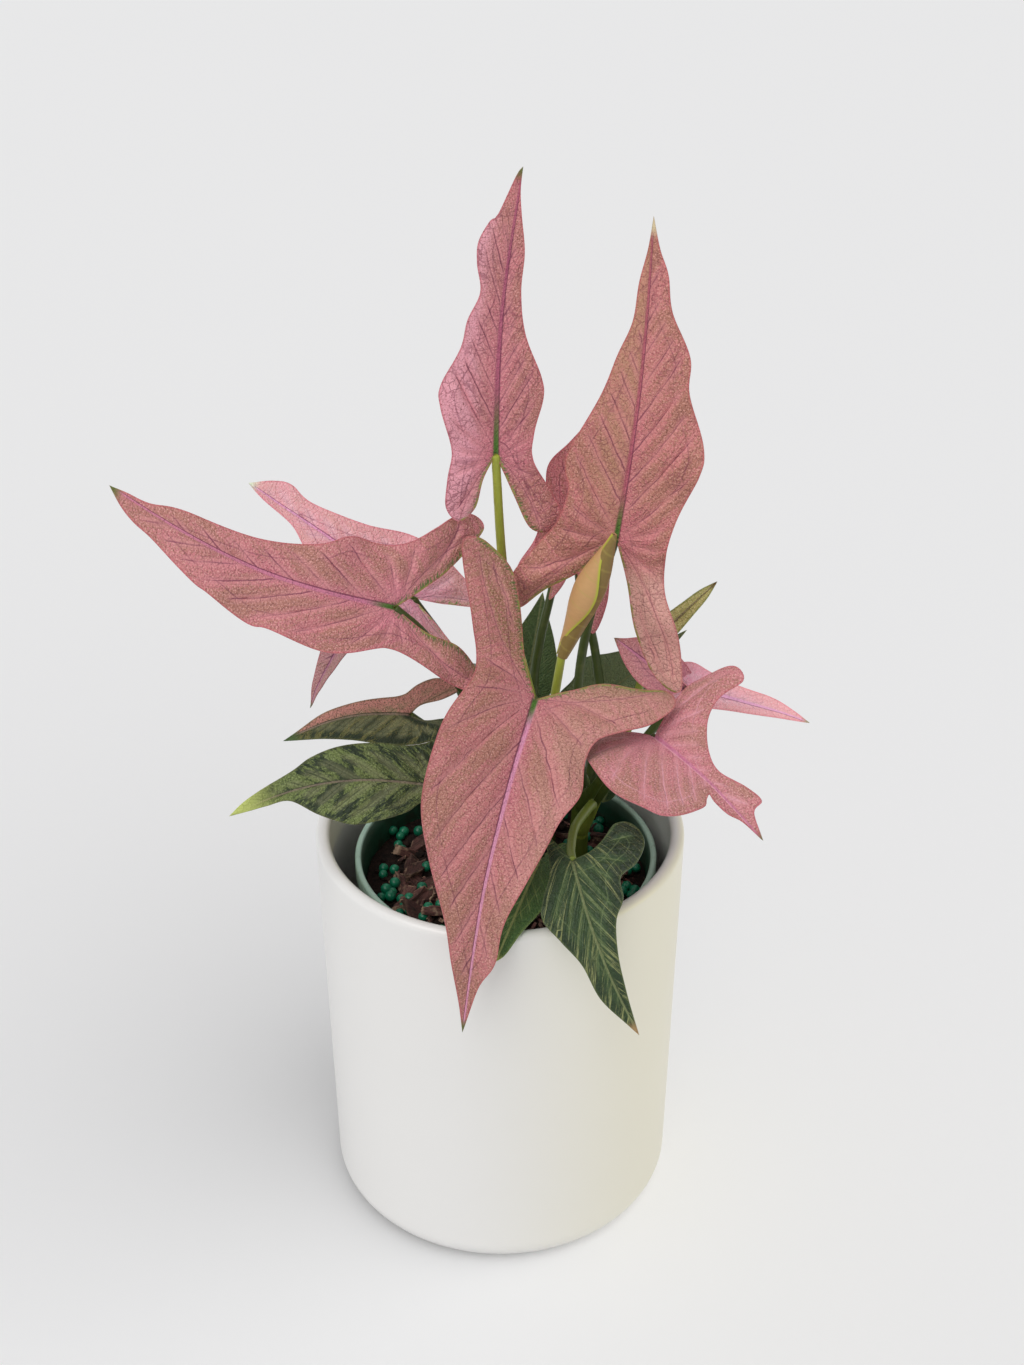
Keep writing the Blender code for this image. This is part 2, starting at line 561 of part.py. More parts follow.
def stalk_path(base, out, stalk):
    """Stalk from the stem to just under the blade, its end kept off the blade."""
    meet = unit(np.array(base, float) - np.array(stalk[-1], float))
    lean = math.sqrt(max(0, 1 - meet.dot(out) ** 2))
    end = np.array(base) - out * (BLADE_THICKNESS / 2 + SEAT_GAP + STALK_RADIUS * lean)
    return smooth_path(list(stalk) + [end], 2)


def make_shoot(name):
    stem = STEMS[name]
    foot = SOIL_TOP - HOLE_DEPTH + CLEARANCE * 2
    x, y = stem["foot"]
    route = [(x, y, foot), (x, y, SOIL_TOP + 3), stem["top"]]
    path = np.vstack([route[:1], smooth_path(route[1:], 3)])
    radii = np.linspace(stem["radius"], stem["radius"] * STEM_TAPER, len(path))
    radii[:2] = stem["radius"]
    made = add_object(name, *tube(path, radii, STEM_SIDES), "stalk")
    stalks = []
    for leaf in LEAVES.values():
        if leaf["shoot"] == name:
            out = leaf_frame(leaf)[1][2]
            route = stalk_path(leaf["base"], out, leaf["stalk"])
            radii = np.linspace(STALK_RADIUS * STALK_ROOT_GROWTH, STALK_RADIUS, len(route))
            stalks.append(add_object("stalk", *tube(route, radii, STALK_SIDES), "stalk"))
    if name == "shoot_middle":
        along = unit(np.subtract(FURLED_TIP, FURLED_BASE))
        end = np.array(FURLED_BASE, float) - along * (BLADE_THICKNESS / 2 + CLEARANCE)
        route = smooth_path(list(FURLED_STALK) + [end], 2)
        radii = np.linspace(STALK_RADIUS * STALK_ROOT_GROWTH, STALK_RADIUS, len(route))
        stalks.append(add_object("stalk", *tube(route, radii, STALK_SIDES), "stalk"))
    combine(made, stalks, "UNION")
    return made


def make_leaf(name):
    leaf = LEAVES[name]
    flat, triangles = leaf_triangles(leaf)
    verts, faces = thicken(bend(leaf, flat), triangles, BLADE_THICKNESS)
    return add_object(name, verts, faces, leaf["colour"])


def make_furled_leaf():
    """New leaf still rolled up: a sheet curled almost shut round its own axis."""
    base = np.array(FURLED_BASE, float)
    along = np.array(FURLED_TIP, float) - base
    side = unit(np.cross(along, (0, -1, 0)))
    front = unit(np.cross(side, along))
    stations = len(FURLED_RADII)
    turns = 10
    points = []
    for i, radius in enumerate(FURLED_RADII):
        for k in range(turns + 1):
            angle = math.radians(FURLED_OPENING / 2 + (360 - FURLED_OPENING) * k / turns - 60)
            ring = radius * (math.cos(angle) * front + math.sin(angle) * side)
            points.append(base + along * i / (stations - 1) + ring)
    triangles = []
    for i in range(stations - 1):
        for k in range(turns):
            a = i * (turns + 1) + k
            b = a + turns + 1
            triangles.append((a, a + 1, b))
            triangles.append((a + 1, b + 1, b))
    verts, faces = thicken(np.array(points), np.array(triangles), BLADE_THICKNESS)
    return add_object("furled_leaf", verts, faces, "furled")


def main():
    for old in list(bpy.data.objects):
        bpy.data.objects.remove(old)
    make_cachepot()
    make_grow_pot()
    make_soil()
    for name in STEMS:
        make_shoot(name)
    for name in LEAVES:
        make_leaf(name)
    make_furled_leaf()


main()
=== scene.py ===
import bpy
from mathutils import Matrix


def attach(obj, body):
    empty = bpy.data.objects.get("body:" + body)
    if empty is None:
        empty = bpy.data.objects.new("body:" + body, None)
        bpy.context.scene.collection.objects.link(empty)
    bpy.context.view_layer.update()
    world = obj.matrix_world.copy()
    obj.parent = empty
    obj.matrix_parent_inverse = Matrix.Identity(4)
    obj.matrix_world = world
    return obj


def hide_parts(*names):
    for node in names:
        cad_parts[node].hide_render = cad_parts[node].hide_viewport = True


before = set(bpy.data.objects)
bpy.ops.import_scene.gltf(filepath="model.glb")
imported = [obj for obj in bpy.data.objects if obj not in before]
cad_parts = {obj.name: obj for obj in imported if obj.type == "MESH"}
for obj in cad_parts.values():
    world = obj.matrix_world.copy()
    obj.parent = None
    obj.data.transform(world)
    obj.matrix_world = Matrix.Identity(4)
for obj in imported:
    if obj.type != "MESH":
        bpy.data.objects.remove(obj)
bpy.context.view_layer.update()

import math
import random

import bmesh
import bpy
import numpy as np
from mathutils import Matrix, Vector, noise
from mathutils.geometry import delaunay_2d_cdt

# Sizes below are millimetres, as in the CAD source, and are turned into metres when a mesh is made.
mm = 0.001
print("frame loaded:", len(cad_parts), "nodes")


# Small maths

def unit(vector):
    vector = np.asarray(vector, float)
    return vector / np.linalg.norm(vector)


def ease(low, high, value):
    share = np.clip((np.asarray(value, float) - low) / (high - low), 0, 1)
    return share * share * (3 - 2 * share)


def smoothPath(points, step):
    # Catmull-Rom curve through the points, sampled about every step
    points = np.asarray(points, float)
    ends = np.vstack([2 * points[0] - points[1], points, 2 * points[-1] - points[-2]])
    spans = []
    for i in range(len(points) - 1):
        a, b, c, d = ends[i:i + 4]
        count = max(2, math.ceil(np.linalg.norm(c - b) / step))
        share = np.linspace(0, 1, count, endpoint=False)[:, None]
        curve = 2 * b + (c - a) * share + (2 * a - 5 * b + 4 * c - d) * share ** 2
        spans.append(0.5 * (curve + (3 * b - a - 3 * c + d) * share ** 3))
    return np.vstack(spans + [points[-1:]])


def roughness(points, size, seed):
    # smooth noise from -1 to 1 at each point, with lumps of about that size
    return np.array([noise.noise(Vector(p) / size + Vector((seed, seed * 0.7, -seed))) for p in points])


# Meshes

def makeMesh(name, verts, faces, materials, sharp=40):
    mesh = bpy.data.meshes.new(name)
    verts = np.asarray(verts, float) * mm
    mesh.from_pydata([tuple(v) for v in verts], [], [tuple(map(int, f)) for f in faces])
    made = bpy.data.objects.new(name, mesh)
    bpy.context.scene.collection.objects.link(made)
    for paint in materials:
        mesh.materials.append(paint)
    shell = bmesh.new()
    shell.from_mesh(mesh)
    bmesh.ops.recalc_face_normals(shell, faces=shell.faces)
    shell.to_mesh(mesh)
    shell.free()
    mesh.shade_smooth()
    mesh.set_sharp_from_angle(angle=math.radians(sharp))
    return made


def keepVectors(made, name, values):
    # a vector for every vertex, which the materials read by name
    layer = made.data.attributes.new(name, "FLOAT_VECTOR", "POINT")
    layer.data.foreach_set("vector", np.asarray(values, np.float32).ravel())


def dress(made, slot, *nodes):
    # every piece belongs to the one body that stands still
    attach(made, "root")
    if nodes:
        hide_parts(*nodes)
    return made


def around(count):
    # evenly spaced directions around an axis, as (cosine, sine)
    angles = [2 * math.pi * k / count for k in range(count)]
    return [(math.cos(angle), math.sin(angle)) for angle in angles]


def tube(path, radii, sides):
    # capped tube with rings square to the path
    path = np.asarray(path, float)
    runs = np.gradient(path, axis=0)
    side = unit(np.cross(runs[0], (0.31, 0.95, 0.05)))
    verts = []
    for centre, run, radius in zip(path, runs, radii):
        run = unit(run)
        side = unit(side - side.dot(run) * run)
        other = np.cross(run, side)
        verts += [centre + radius * (x * side + y * other) for x, y in around(sides)]
    faces = [tuple(reversed(range(sides)))]
    for i in range(len(path) - 1):
        for k in range(sides):
            a = i * sides + k
            b = i * sides + (k + 1) % sides
            faces.append((a, b, b + sides, a + sides))
    faces.append(tuple(range((len(path) - 1) * sides, len(path) * sides)))
    return np.array(verts), faces


def gathered(bodies):
    # many bodies as one list of points and one of faces
    verts, faces = [], []
    for part, more in bodies:
        faces += [tuple(i + len(verts) for i in face) for face in more]
        verts += list(part)
    return verts, faces


def turnedFaces(rings, sides):
    # faces of a body made of one point, rings of points and one last point
    faces = []
    last = 1 + (rings - 1) * sides
    for k in range(sides):
        after = (k + 1) % sides
        faces.append((0, 1 + k, 1 + after))
        for i in range(rings - 1):
            a, b = 1 + i * sides + k, 1 + i * sides + after
            faces.append((a, a + sides, b + sides, b))
        faces.append((last + sides, last + after, last + k))
    return faces


def lathe(profile, sides, centre=(0, 0)):
    # closed turned body from a profile that starts and ends on the axis
    verts = [(centre[0], centre[1], profile[0][1])]
    ringed = profile[1:-1]
    for radius, z in ringed:
        verts += [(centre[0] + radius * x, centre[1] + radius * y, z) for x, y in around(sides)]
    verts.append((centre[0], centre[1], profile[-1][1]))
    return np.array(verts), turnedFaces(len(ringed), sides)


def arc(centre, radius, start, end, steps):
    angles = [math.radians(start + (end - start) * i / steps) for i in range(steps + 1)]
    return [(centre[0] + radius * math.cos(a), centre[1] + radius * math.sin(a)) for a in angles]


def cornerNormals(points, triangles):
    corners = points[triangles]
    normals = np.cross(corners[:, 1] - corners[:, 0], corners[:, 2] - corners[:, 0])
    vertex = np.zeros_like(points)
    for i in range(3):
        np.add.at(vertex, triangles[:, i], normals)
    return vertex / (np.linalg.norm(vertex, axis=1)[:, None] + 1e-12)


def sheetFaces(triangles, count):
    # the upper skin, the lower one that starts count points on, and the rim between them
    triangles = triangles.tolist()
    edges = set()
    for a, b, c in triangles:
        edges.update(((a, b), (b, c), (c, a)))
    faces = [tuple(t) for t in triangles]
    faces += [(count + c, count + b, count + a) for a, b, c in triangles]
    return faces + [(b, a, count + a, count + b) for a, b in edges if (b, a) not in edges]


# Materials: short helpers for the node tree

def colour(red, green, blue):
    # an sRGB colour from 0 to 255 as the linear one that Blender wants
    linear = [c / 12.92 if c <= 0.04045 else ((c + 0.055) / 1.055) ** 2.4
              for c in (red / 255, green / 255, blue / 255)]
    return (*linear, 1.0)


def newMaterial(name, rough, specular):
    made = bpy.data.materials.new(name)
    made.use_nodes = True
    shader = made.node_tree.nodes["Principled BSDF"]
    shader.inputs["Roughness"].default_value = rough
    shader.inputs["Specular IOR Level"].default_value = specular
    return made, made.node_tree, shader


def feed(target, value):
    # a socket is linked, and anything else becomes the input's own value
    if isinstance(value, bpy.types.NodeSocket):
        target.id_data.links.new(value, target)
    else:
        target.default_value = value


def addNode(tree, kind, inputs=None, **settings):
    made = tree.nodes.new(kind)
    for key, value in settings.items():
        setattr(made, key, value)
    for key, value in (inputs or {}).items():
        feed(made.inputs[key], value)
    return made


def result(kind, inputs, output=0, **settings):
    # the output of a new node, in the tree that its inputs come from
    tree = next(v.id_data for v in inputs.values() if isinstance(v, bpy.types.NodeSocket))
    return addNode(tree, kind, inputs, **settings).outputs[output]


def calc(operation, *values):
    return result("ShaderNodeMath", dict(enumerate(values)), operation=operation)


def plus(total, *values):
    for value in values:
        total = calc("ADD", total, value)
    return total


def times(product, *values):
    for value in values:
        product = calc("MULTIPLY", product, value)
    return product


def eased(low, high, value):
    # 0 at low and 1 at high, eased between them; low may be the larger
    return result("ShaderNodeMapRange", {"Value": value, "From Min": low, "From Max": high},
                  interpolation_type="SMOOTHSTEP")


def spread(value, start, end, low=0.0, high=1.0):
    # a straight run from start to end, as the value goes from low to high
    return result("ShaderNodeMapRange", {"Value": value, "From Min": low, "From Max": high,
                                         "To Min": start, "To Max": end})


def mixed(share, under, over):
    return result("ShaderNodeMix", {0: share, 6: under, 7: over}, 2, data_type="RGBA")


def cover(ground, share, paint):
    # an sRGB paint over that share of the ground
    return mixed(share, ground, colour(*paint))


def cloudy(where, scale, detail=2.0, rough=0.5, output=0):
    # soft noise about 0.5
    return result("ShaderNodeTexNoise", {"Vector": where, "Scale": scale, "Detail": detail,
                                         "Roughness": rough}, output)


def stretched(vector, sizes):
    return result("ShaderNodeVectorMath", {0: vector, 1: sizes}, operation="MULTIPLY")


def joined(x, y, z):
    return result("ShaderNodeCombineXYZ", {0: x, 1: y, 2: z})


def ownPlace(tree):
    # where the point is, in the object's own metres
    return addNode(tree, "ShaderNodeTexCoord").outputs["Object"]


def namedVector(tree, name):
    # a vector that the mesh keeps, and its three parts
    vector = addNode(tree, "ShaderNodeAttribute", attribute_name=name).outputs["Vector"]
    return vector, *addNode(tree, "ShaderNodeSeparateXYZ", {0: vector}).outputs[:3]


def addBump(shader, height, depth, strength, normal=None):
    inputs = {"Height": height, "Distance": depth * mm, "Strength": strength}
    if normal:
        inputs["Normal"] = normal
    made = result("ShaderNodeBump", inputs)
    feed(shader.inputs["Normal"], made)
    return made


def coat(shader, ground, height, depth, strength):
    # colour and bump together
    feed(shader.inputs["Base Color"], ground)
    return addBump(shader, height, depth, strength)


# Camera and stage

view = {
    "place": (0.00385, -0.5355, 0.5165),
    "pitchFromDown": 59.0,
    "lens": 52.75,
}
stageLook = {
    "floor": (250, 250, 250),
    "reach": 4000,
    "sky": 0.50,
    "skyTint": (0.998, 0.998, 1.008, 1),
}
# Each lamp: its tilt from straight above and its turn, power, softness in degrees, tint, and
# whether it lights the floor alone or the plant and pots alone.
suns = {
    "keyLight": dict(tilt=36, turn=-38, power=1.64, softness=46, tint=(1.0, 0.995, 0.98), floor=False),
    "rimLight": dict(tilt=48, turn=170, power=0.12, softness=50, tint=(1.0, 1.0, 0.97), floor=False),
    "floorLight": dict(tilt=46, turn=52, power=1.56, softness=88, tint=(1.0, 1.0, 1.0), floor=True),
}
warmPanel = {
    "place": (0.55, -0.12, 0.20),
    "aim": (0.0, 0.0, 0.07),
    "size": 0.35,
    "power": 0.62,
    "tint": (1.0, 0.84, 0.02),
}


def makeCamera():
    lens = bpy.data.cameras.new("camera")
    lens.lens = view["lens"]
    made = bpy.data.objects.new("camera", lens)
    made.location = view["place"]
    made.rotation_euler = (math.radians(view["pitchFromDown"]), 0, 0)
    bpy.context.scene.collection.objects.link(made)
    bpy.context.scene.camera = made


def limitTo(lamp, made, linked):
    # light linking: the lamp lights only that object, or everything but that object
    group = bpy.data.collections.new(lamp.name + "Reach")
    group.objects.link(made)
    group.collection_objects[0].light_linking.link_state = "INCLUDE" if linked else "EXCLUDE"
    lamp.light_linking.receiver_collection = group


def addSun(name, look, floor):
    lamp = bpy.data.lights.new(name, "SUN")
    lamp.energy = look["power"]
    lamp.angle = math.radians(look["softness"])
    lamp.color = look["tint"]
    made = bpy.data.objects.new(name, lamp)
    made.rotation_euler = (math.radians(look["tilt"]), 0, math.radians(look["turn"]))
    bpy.context.scene.collection.objects.link(made)
    limitTo(made, floor, look["floor"])


def addWarmPanel(pot):
    # the yellowish glow that the photograph has on the right of the cover pot
    lamp = bpy.data.lights.new("warmPanel", "AREA")
    lamp.energy = warmPanel["power"]
    lamp.color = warmPanel["tint"]
    lamp.size = warmPanel["size"]
    made = bpy.data.objects.new("warmPanel", lamp)
    made.location = warmPanel["place"]
    away = Vector(warmPanel["place"]) - Vector(warmPanel["aim"])
    made.rotation_euler = away.to_track_quat("Z", "Y").to_euler()
    made.visible_camera = False
    bpy.context.scene.collection.objects.link(made)
    limitTo(made, pot, True)


def makeStage():
    scene = bpy.context.scene
    scene.view_settings.view_transform = "Standard"
    paint, tree, shader = newMaterial("floorPaper", 0.9, 0.0)
    pale = colour(*stageLook["floor"])
    shade = tuple(c * 0.995 for c in pale[:3]) + (1.0,)
    feed(shader.inputs["Base Color"], mixed(cloudy(ownPlace(tree), 3.0), pale, shade))
    far = stageLook["reach"]
    floor = makeMesh("floor", [(-far, -far, 0), (far, -far, 0), (far, far, 0), (-far, far, 0)],
                     [(0, 1, 2, 3)], [paint])
    world = bpy.data.worlds.new("studio")
    scene.world = world
    world.use_nodes = True
    sky = world.node_tree.nodes["Background"]
    sky.inputs[0].default_value = stageLook["skyTint"]
    sky.inputs[1].default_value = stageLook["sky"]
    for name, look in suns.items():
        addSun(name, look, floor)
    print("stage made")


# Leaves

# Each leaf as the CAD source has it: base and tip of its midrib, the way its upper side faces, how
# far the midrib arches, the halves fold up and the lobes lift, its sideways sway, and its flat
# outline on both sides from the tip to the base, as (across, along). Where right is left out it is
# like the left. The stalk runs from the stem to the base.
leafShapes = {
    "leaf_top": dict(
        base=(-1, 5, 270), tip=(7, 22, 351), face=(0.1, -0.9, 0.4), arch=22, fold=(12, -6), sway=-2.5,
        left=((1.5, 81), (5, 70), (7, 68), (9.5, 62), (9, 56), (7, 48), (10, 40), (11.5, 32), (17, 21),
              (17, 15), (13.5, 2), (14, -8), (13.5, -17), (9, -21.5), (4.5, -17), (3, -8)),
        right=((0.5, 77), (2, 70), (4.5, 60), (5, 49), (7.5, 37), (13, 25), (14, 18), (11.5, 7),
               (11.5, -1), (18, -11), (22, -18), (19, -24), (13, -23), (7, -13)),
        shoot="shoot_middle", stalk=((14, 16, 152), (11, 16, 175), (5, 16, 202), (1, 14, 229))),
    "leaf_upper_right": dict(
        base=(35, 0, 245), tip=(44, 18, 338), face=(-0.1, -0.9, 0.42), arch=24, fold=(2, 14), sway=2,
        left=((1, 87), (3, 77), (4, 66), (7.5, 56), (11, 44), (18, 27), (18.5, 20), (16.5, 14), (19, 2),
              (25.5, -8), (30, -15), (31, -24), (27, -28), (19, -19), (9.5, -12), (4, -4)),
        right=((2.5, 87), (5.5, 80), (7.5, 70), (14, 58), (15, 48), (21.5, 33), (21.5, 25), (17, 9),
               (16, -3), (17, -14), (22, -25), (25, -37), (26, -45), (22, -46), (15, -41), (9, -29),
               (5, -14)),
        shoot="shoot_right", stalk=((27, 10, 145), (25, 8, 170), (25, 7, 192), (28, 6, 215)),
        ripple=0.6),
    "leaf_upper_rear": dict(
        base=(24, 20, 228), tip=(44, 28, 285), face=(-0.2, -0.8, 0.5), arch=18, fold=(14, 14),
        left=((3, 56), (9, 47), (14, 35), (18, 25), (14, 12), (14, 2), (12, -10), (6, -9)),
        right=((3, 48), (8, 34), (12, 20), (12, 6), (15, -8), (14, -20), (6, -12)),
        shoot="shoot_right", stalk=((27, 13, 138), (33, 24, 165), (31, 29, 189), (26, 27, 212))),
    "leaf_left_large": dict(
        base=(-31, -12, 228), tip=(-110, -22, 273), face=(0, -0.8, 0.6), arch=24, fold=(14, 8), sway=-6,
        left=((3.5, 87), (5.5, 82), (7, 75), (12, 61), (13, 56), (16.5, 42), (16, 36), (18, 20), (17, 12),
              (13, 0), (12.5, -9), (15, -25), (14, -34), (8, -34), (3, -25), (3, -12)),
        right=((1, 87), (2, 80), (5.5, 70), (8.5, 47), (13, 31), (18, 23), (18, 13), (20, 6), (26, 0),
               (32, -5), (35.5, -11), (33, -16), (24, -14), (16, -11), (7, -5)),
        shoot="shoot_left", stalk=((2, 11, 148), (-3, 5, 173), (-12, -2, 194), (-22, -7, 215)),
        ripple=0.6),
    "leaf_left_back": dict(
        base=(-27, 14, 217), tip=(-77, 22, 253), face=(0, -0.7, 0.7), arch=14, fold=(20, 20),
        left=((2, 56), (4, 44), (10, 33), (11, 14), (10, -1), (9, -14), (6, -20), (3, -12)),
        right=((5, 56), (7, 51), (6, 43), (10, 26), (16, 12), (16, -2), (12, -19), (5, -10)),
        shoot="shoot_left", stalk=((1, 13, 152), (-6, 13, 178), (-16, 15, 198))),
    "leaf_left_hanging": dict(
        base=(-35, 34, 217), tip=(-64, 38, 162), face=(-0.5, -0.6, 0.6), arch=26, fold=(22, 22),
        left=((3, 50), (6, 36), (9, 22), (10, 8), (8, 0), (7, -6), (3, -4)),
        shoot="shoot_left", stalk=((3, 15, 140), (-8, 23, 165), (-20, 30, 190), (-30, 35, 207))),
    "leaf_front_large": dict(
        base=(11, -20, 201), tip=(-11, -76, 118), face=(0.1, -0.86, 0.51), arch=44, fold=(12, 12), sway=4,
        lift=26,
        left=((3, 90), (7, 81), (8, 68), (15, 46), (17.5, 36), (21.5, 27), (20, 17), (21.5, 11), (28, 7),
              (36, 3), (42, -5), (39, -10), (30, -9), (19, -8.5), (10, -4.5)),
        right=((2.5, 95), (6.5, 83), (10.5, 71), (19, 54), (23.5, 44), (25.5, 35), (26, 24), (25, 12),
               (21, 0), (21, -9), (25, -20), (31.5, -36), (33, -42), (30, -44), (25, -43), (16, -37),
               (11, -27), (5.5, -11)),
        shoot="shoot_middle", stalk=((14, 14, 142), (12, 4, 160), (10, -6, 178)),
        ripple=0.6),
    "leaf_right_low": dict(
        base=(47, -22, 189), tip=(77, -60, 177), face=(0.15, -0.75, 0.65), arch=40, fold=(18, 18),
        left=((3.5, 43), (7.5, 42), (7, 36), (4.5, 27), (7, 19.5), (13, 13), (20, 11), (29, 13.5),
              (31, 9), (27, 3), (18, -3)),
        right=((1, 43), (3, 38.5), (3.5, 33), (3, 30.5), (5, 31.5), (8, 33), (18, 30.5), (22.5, 26),
               (25.5, 13), (24, 2), (20, -8), (13, -13), (6, -9)),
        shoot="shoot_right", stalk=((27, 9, 142), (34, 1, 160), (41, -10, 174)),
        ripple=0.6),
    "leaf_right_tail": dict(
        base=(60, 4, 190), tip=(97, -5, 183), face=(0, -0.45, 0.9), arch=16, fold=(14, 14),
        left=((2, 33), (4, 25), (5, 13), (7, 5), (9, -2), (6, -8), (3, -5)),
        right=((2, 32), (4, 22), (6, 12), (8, 4), (12, -2), (11, -9), (4, -5)),
        shoot="shoot_right", stalk=((27, 11, 136), (42, 10, 160), (53, 8, 178)),
        ripple=0.4),
    "leaf_young_right": dict(
        base=(49, 20, 198), tip=(68, 16, 222), face=(-0.2, -0.86, 0.4), arch=10, fold=(30, 30),
        left=((2, 25), (3, 18), (4, 10), (4, 3), (3, -4), (1, -3)),
        shoot="shoot_right", stalk=((28, 13, 132), (40, 18, 160), (46, 21, 184)),
        ripple=0.2),
    "leaf_rear_middle": dict(
        base=(8, 38, 166), tip=(14, 44, 203), face=(0, -0.86, 0.51), arch=14, fold=(14, 14),
        left=((3, 31), (7, 22), (10, 11), (8, 1), (10, -8), (7, -12), (3, -6)),
        shoot="shoot_middle", stalk=((14, 20, 134), (11, 34, 145), (9, 43, 157)),
        ripple=0.3),
    "leaf_rear_right": dict(
        base=(33, 35, 167), tip=(61, 33, 195), face=(-0.1, -0.86, 0.51), arch=20, fold=(12, 12),
        left=((2, 32), (5, 25), (10, 15), (14, 7), (11, -2), (10, -10), (6, -13), (2, -6)),
        right=((2, 32), (5, 25), (9, 16), (11, 7), (9, -1), (11, -8), (8, -13), (3, -6)),
        shoot="shoot_right", stalk=((27, 14, 130), (30, 28, 142), (32, 39, 156)),
        ripple=0.4),
    "leaf_marbled_upper": dict(
        base=(-28, -5, 186), tip=(-67, -14, 182), face=(0, -0.7, 0.7), arch=14, fold=(20, 20), sway=3,
        left=((2, 36), (4.5, 30), (8.5, 20), (12, 9), (11, -2), (10.5, -10), (7, -15), (4, -11),
              (3, -4)),
        right=((1, 35), (3, 27), (4, 18), (5, 9), (6, 2), (9, -4), (10, -10), (8, -15), (5, -17),
               (3, -11), (2.5, -4)),
        shoot="shoot_left", stalk=((2, 11, 138), (-6, 5, 155), (-17, 1, 172)),
        ripple=0.4),
    "leaf_marbled_lower": dict(
        base=(-21, -28, 175), tip=(-82, -36, 169), face=(0, -0.75, 0.66), arch=28, fold=(12, 12), sway=5,
        left=((1, 57), (2, 50), (3, 43), (9.5, 35), (14, 26), (13, 17), (10, 9), (6, 3), (9, -4),
              (5, -4)),
        right=((2.5, 56), (5.5, 42), (8.5, 35), (10.5, 26), (11.5, 14), (11.5, 5), (14, -5), (10, -9),
               (5, -4)),
        shoot="shoot_left", stalk=((3, 11, 132), (-2, 0, 145), (-10, -12, 158))),
    "leaf_front_green": dict(
        base=(22, -46, 160), tip=(42, -76, 117), face=(0, -0.86, 0.51), arch=46, fold=(10, 10), sway=2,
        left=((1.5, 49), (3, 41), (5, 31), (8, 22), (12, 17), (13, 11), (19, 9), (23, 4), (21, -3),
              (16, -5), (11, -2), (6, 0)),
        right=((2, 52), (5.5, 42), (6.5, 31), (10, 22.5), (13.5, 14.5), (11.5, 8.5), (8, 3), (6.5, -3),
               (5, -10), (2, -5)),
        shoot="shoot_right", stalk=((27, 9, 132), (30, 2, 147), (24, -18, 153), (22, -34, 156)),
        ripple=0.4),
    "leaf_front_green_inner": dict(
        base=(13, -32, 151), tip=(-1, -66, 137), face=(0, -0.7, 0.7), arch=40, fold=(12, 12),
        left=((2, 37), (4, 29), (7, 20), (8, 11), (6, 3), (8, -4), (5, -9), (2, -5)),
        right=((3, 35), (8, 25), (12, 15), (10, 5), (10, -4), (6, -9), (3, -5)),
        shoot="shoot_middle", stalk=((15, 15, 132), (14, 0, 144), (13, -18, 149)),
        ripple=0.3),
    "leaf_small_low": dict(
        base=(38, 22, 145), tip=(34, 18, 137), face=(0.3, -0.8, 0.5), arch=10, fold=(14, 14),
        left=((2, 8), (3, 5), (2, 1)),
        shoot="shoot_right", stalk=((27, 13, 130), (33, 24, 138), (37, 26, 143)),
        ripple=0.0),
    "leaf_rear_top": dict(
        base=(17, 42, 217), tip=(53, 92, 256), face=(-0.2, -0.5, 0.85), arch=20, fold=(14, 14),
        left=((3, 62), (7, 48), (9, 32), (10, 18), (8, 4), (9, -7), (7, -14), (4, -7)),
        shoot="shoot_middle", stalk=((14, 20, 150), (11, 25, 176), (13, 28, 194), (17, 37, 209))),
    "leaf_rear_low": dict(
        base=(-2, 58, 160), tip=(-6, 108, 128), face=(0, 0.5, 0.86), arch=44, fold=(14, 14),
        left=((3, 52), (7, 40), (10, 26), (11, 14), (8, 2), (10, -9), (7, -15), (3, -7)),
        shoot="shoot_middle", stalk=((14, 20, 130), (6, 40, 144))),
    "leaf_rear_right_low": dict(
        base=(36, 58, 156), tip=(68, 105, 130), face=(0.3, 0.4, 0.86), arch=44, fold=(14, 14),
        left=((3, 54), (7, 42), (9, 28), (10, 14), (8, 2), (10, -9), (7, -15), (3, -7)),
        shoot="shoot_right", stalk=((27, 14, 127), (31, 28, 138), (35, 48, 151))),
}
# not in the CAD source: the pale lobe that runs back from the tail leaf's base, on the same stalk
leafShapes["leaf_right_tail_lobe"] = dict(
    base=(58, 6, 188), tip=(36, 12, 204), face=(0, -0.8, 0.6), arch=14, fold=(10, 10),
    left=((2, 25), (5, 20), (7, 13), (6, 5), (4, -1)), right=((2, 25), (6, 20), (8, 12), (7, 4), (4, -2)),
    shoot="", stalk=(), ripple=0.3)
blade = {
    "cell": 0.95,            # spacing of the mesh points
    "thickness": 0.55,
    "edgeThickness": 0.28,
    "ripple": 0.5,           # this, its length and the hinge are as in the CAD source
    "rippleLength": 24.0,
    "lobeHinge": 16.0,       # how far behind the base the lobes bend
    "veinSpacing": 0.125,    # of the length of the leaf
    "veinRise": 46.0,        # degrees from straight across
    "veinCurve": 0.012,
    "veinSpread": 1.1,       # the veins open up towards the margin
    "veinShift": 0.2,        # of the spacing, apart on the two sides
    "veinWidth": 0.6,
    "quilt": 1.25,           # how far the skin swells between the side veins
    "skew": 1.5,             # the swell is steeper on the side towards the tip
    "veinGroove": 0.4,
    "ribGroove": 0.55,
    "lobeGroove": 0.45,
    "ribRidge": 1.0,         # the midrib stands proud below, and the other veins less so
    "lobeRidge": 0.5,
    "veinRidge": 0.25,
    "lobeBow": 0.07,         # how far a lobe's rib curves, of its length
    "leastLobe": 3.0,        # a shorter lobe has no rib of its own
    "edgeWave": 0.5,
    "sag": 0.9,              # broad unevenness
}


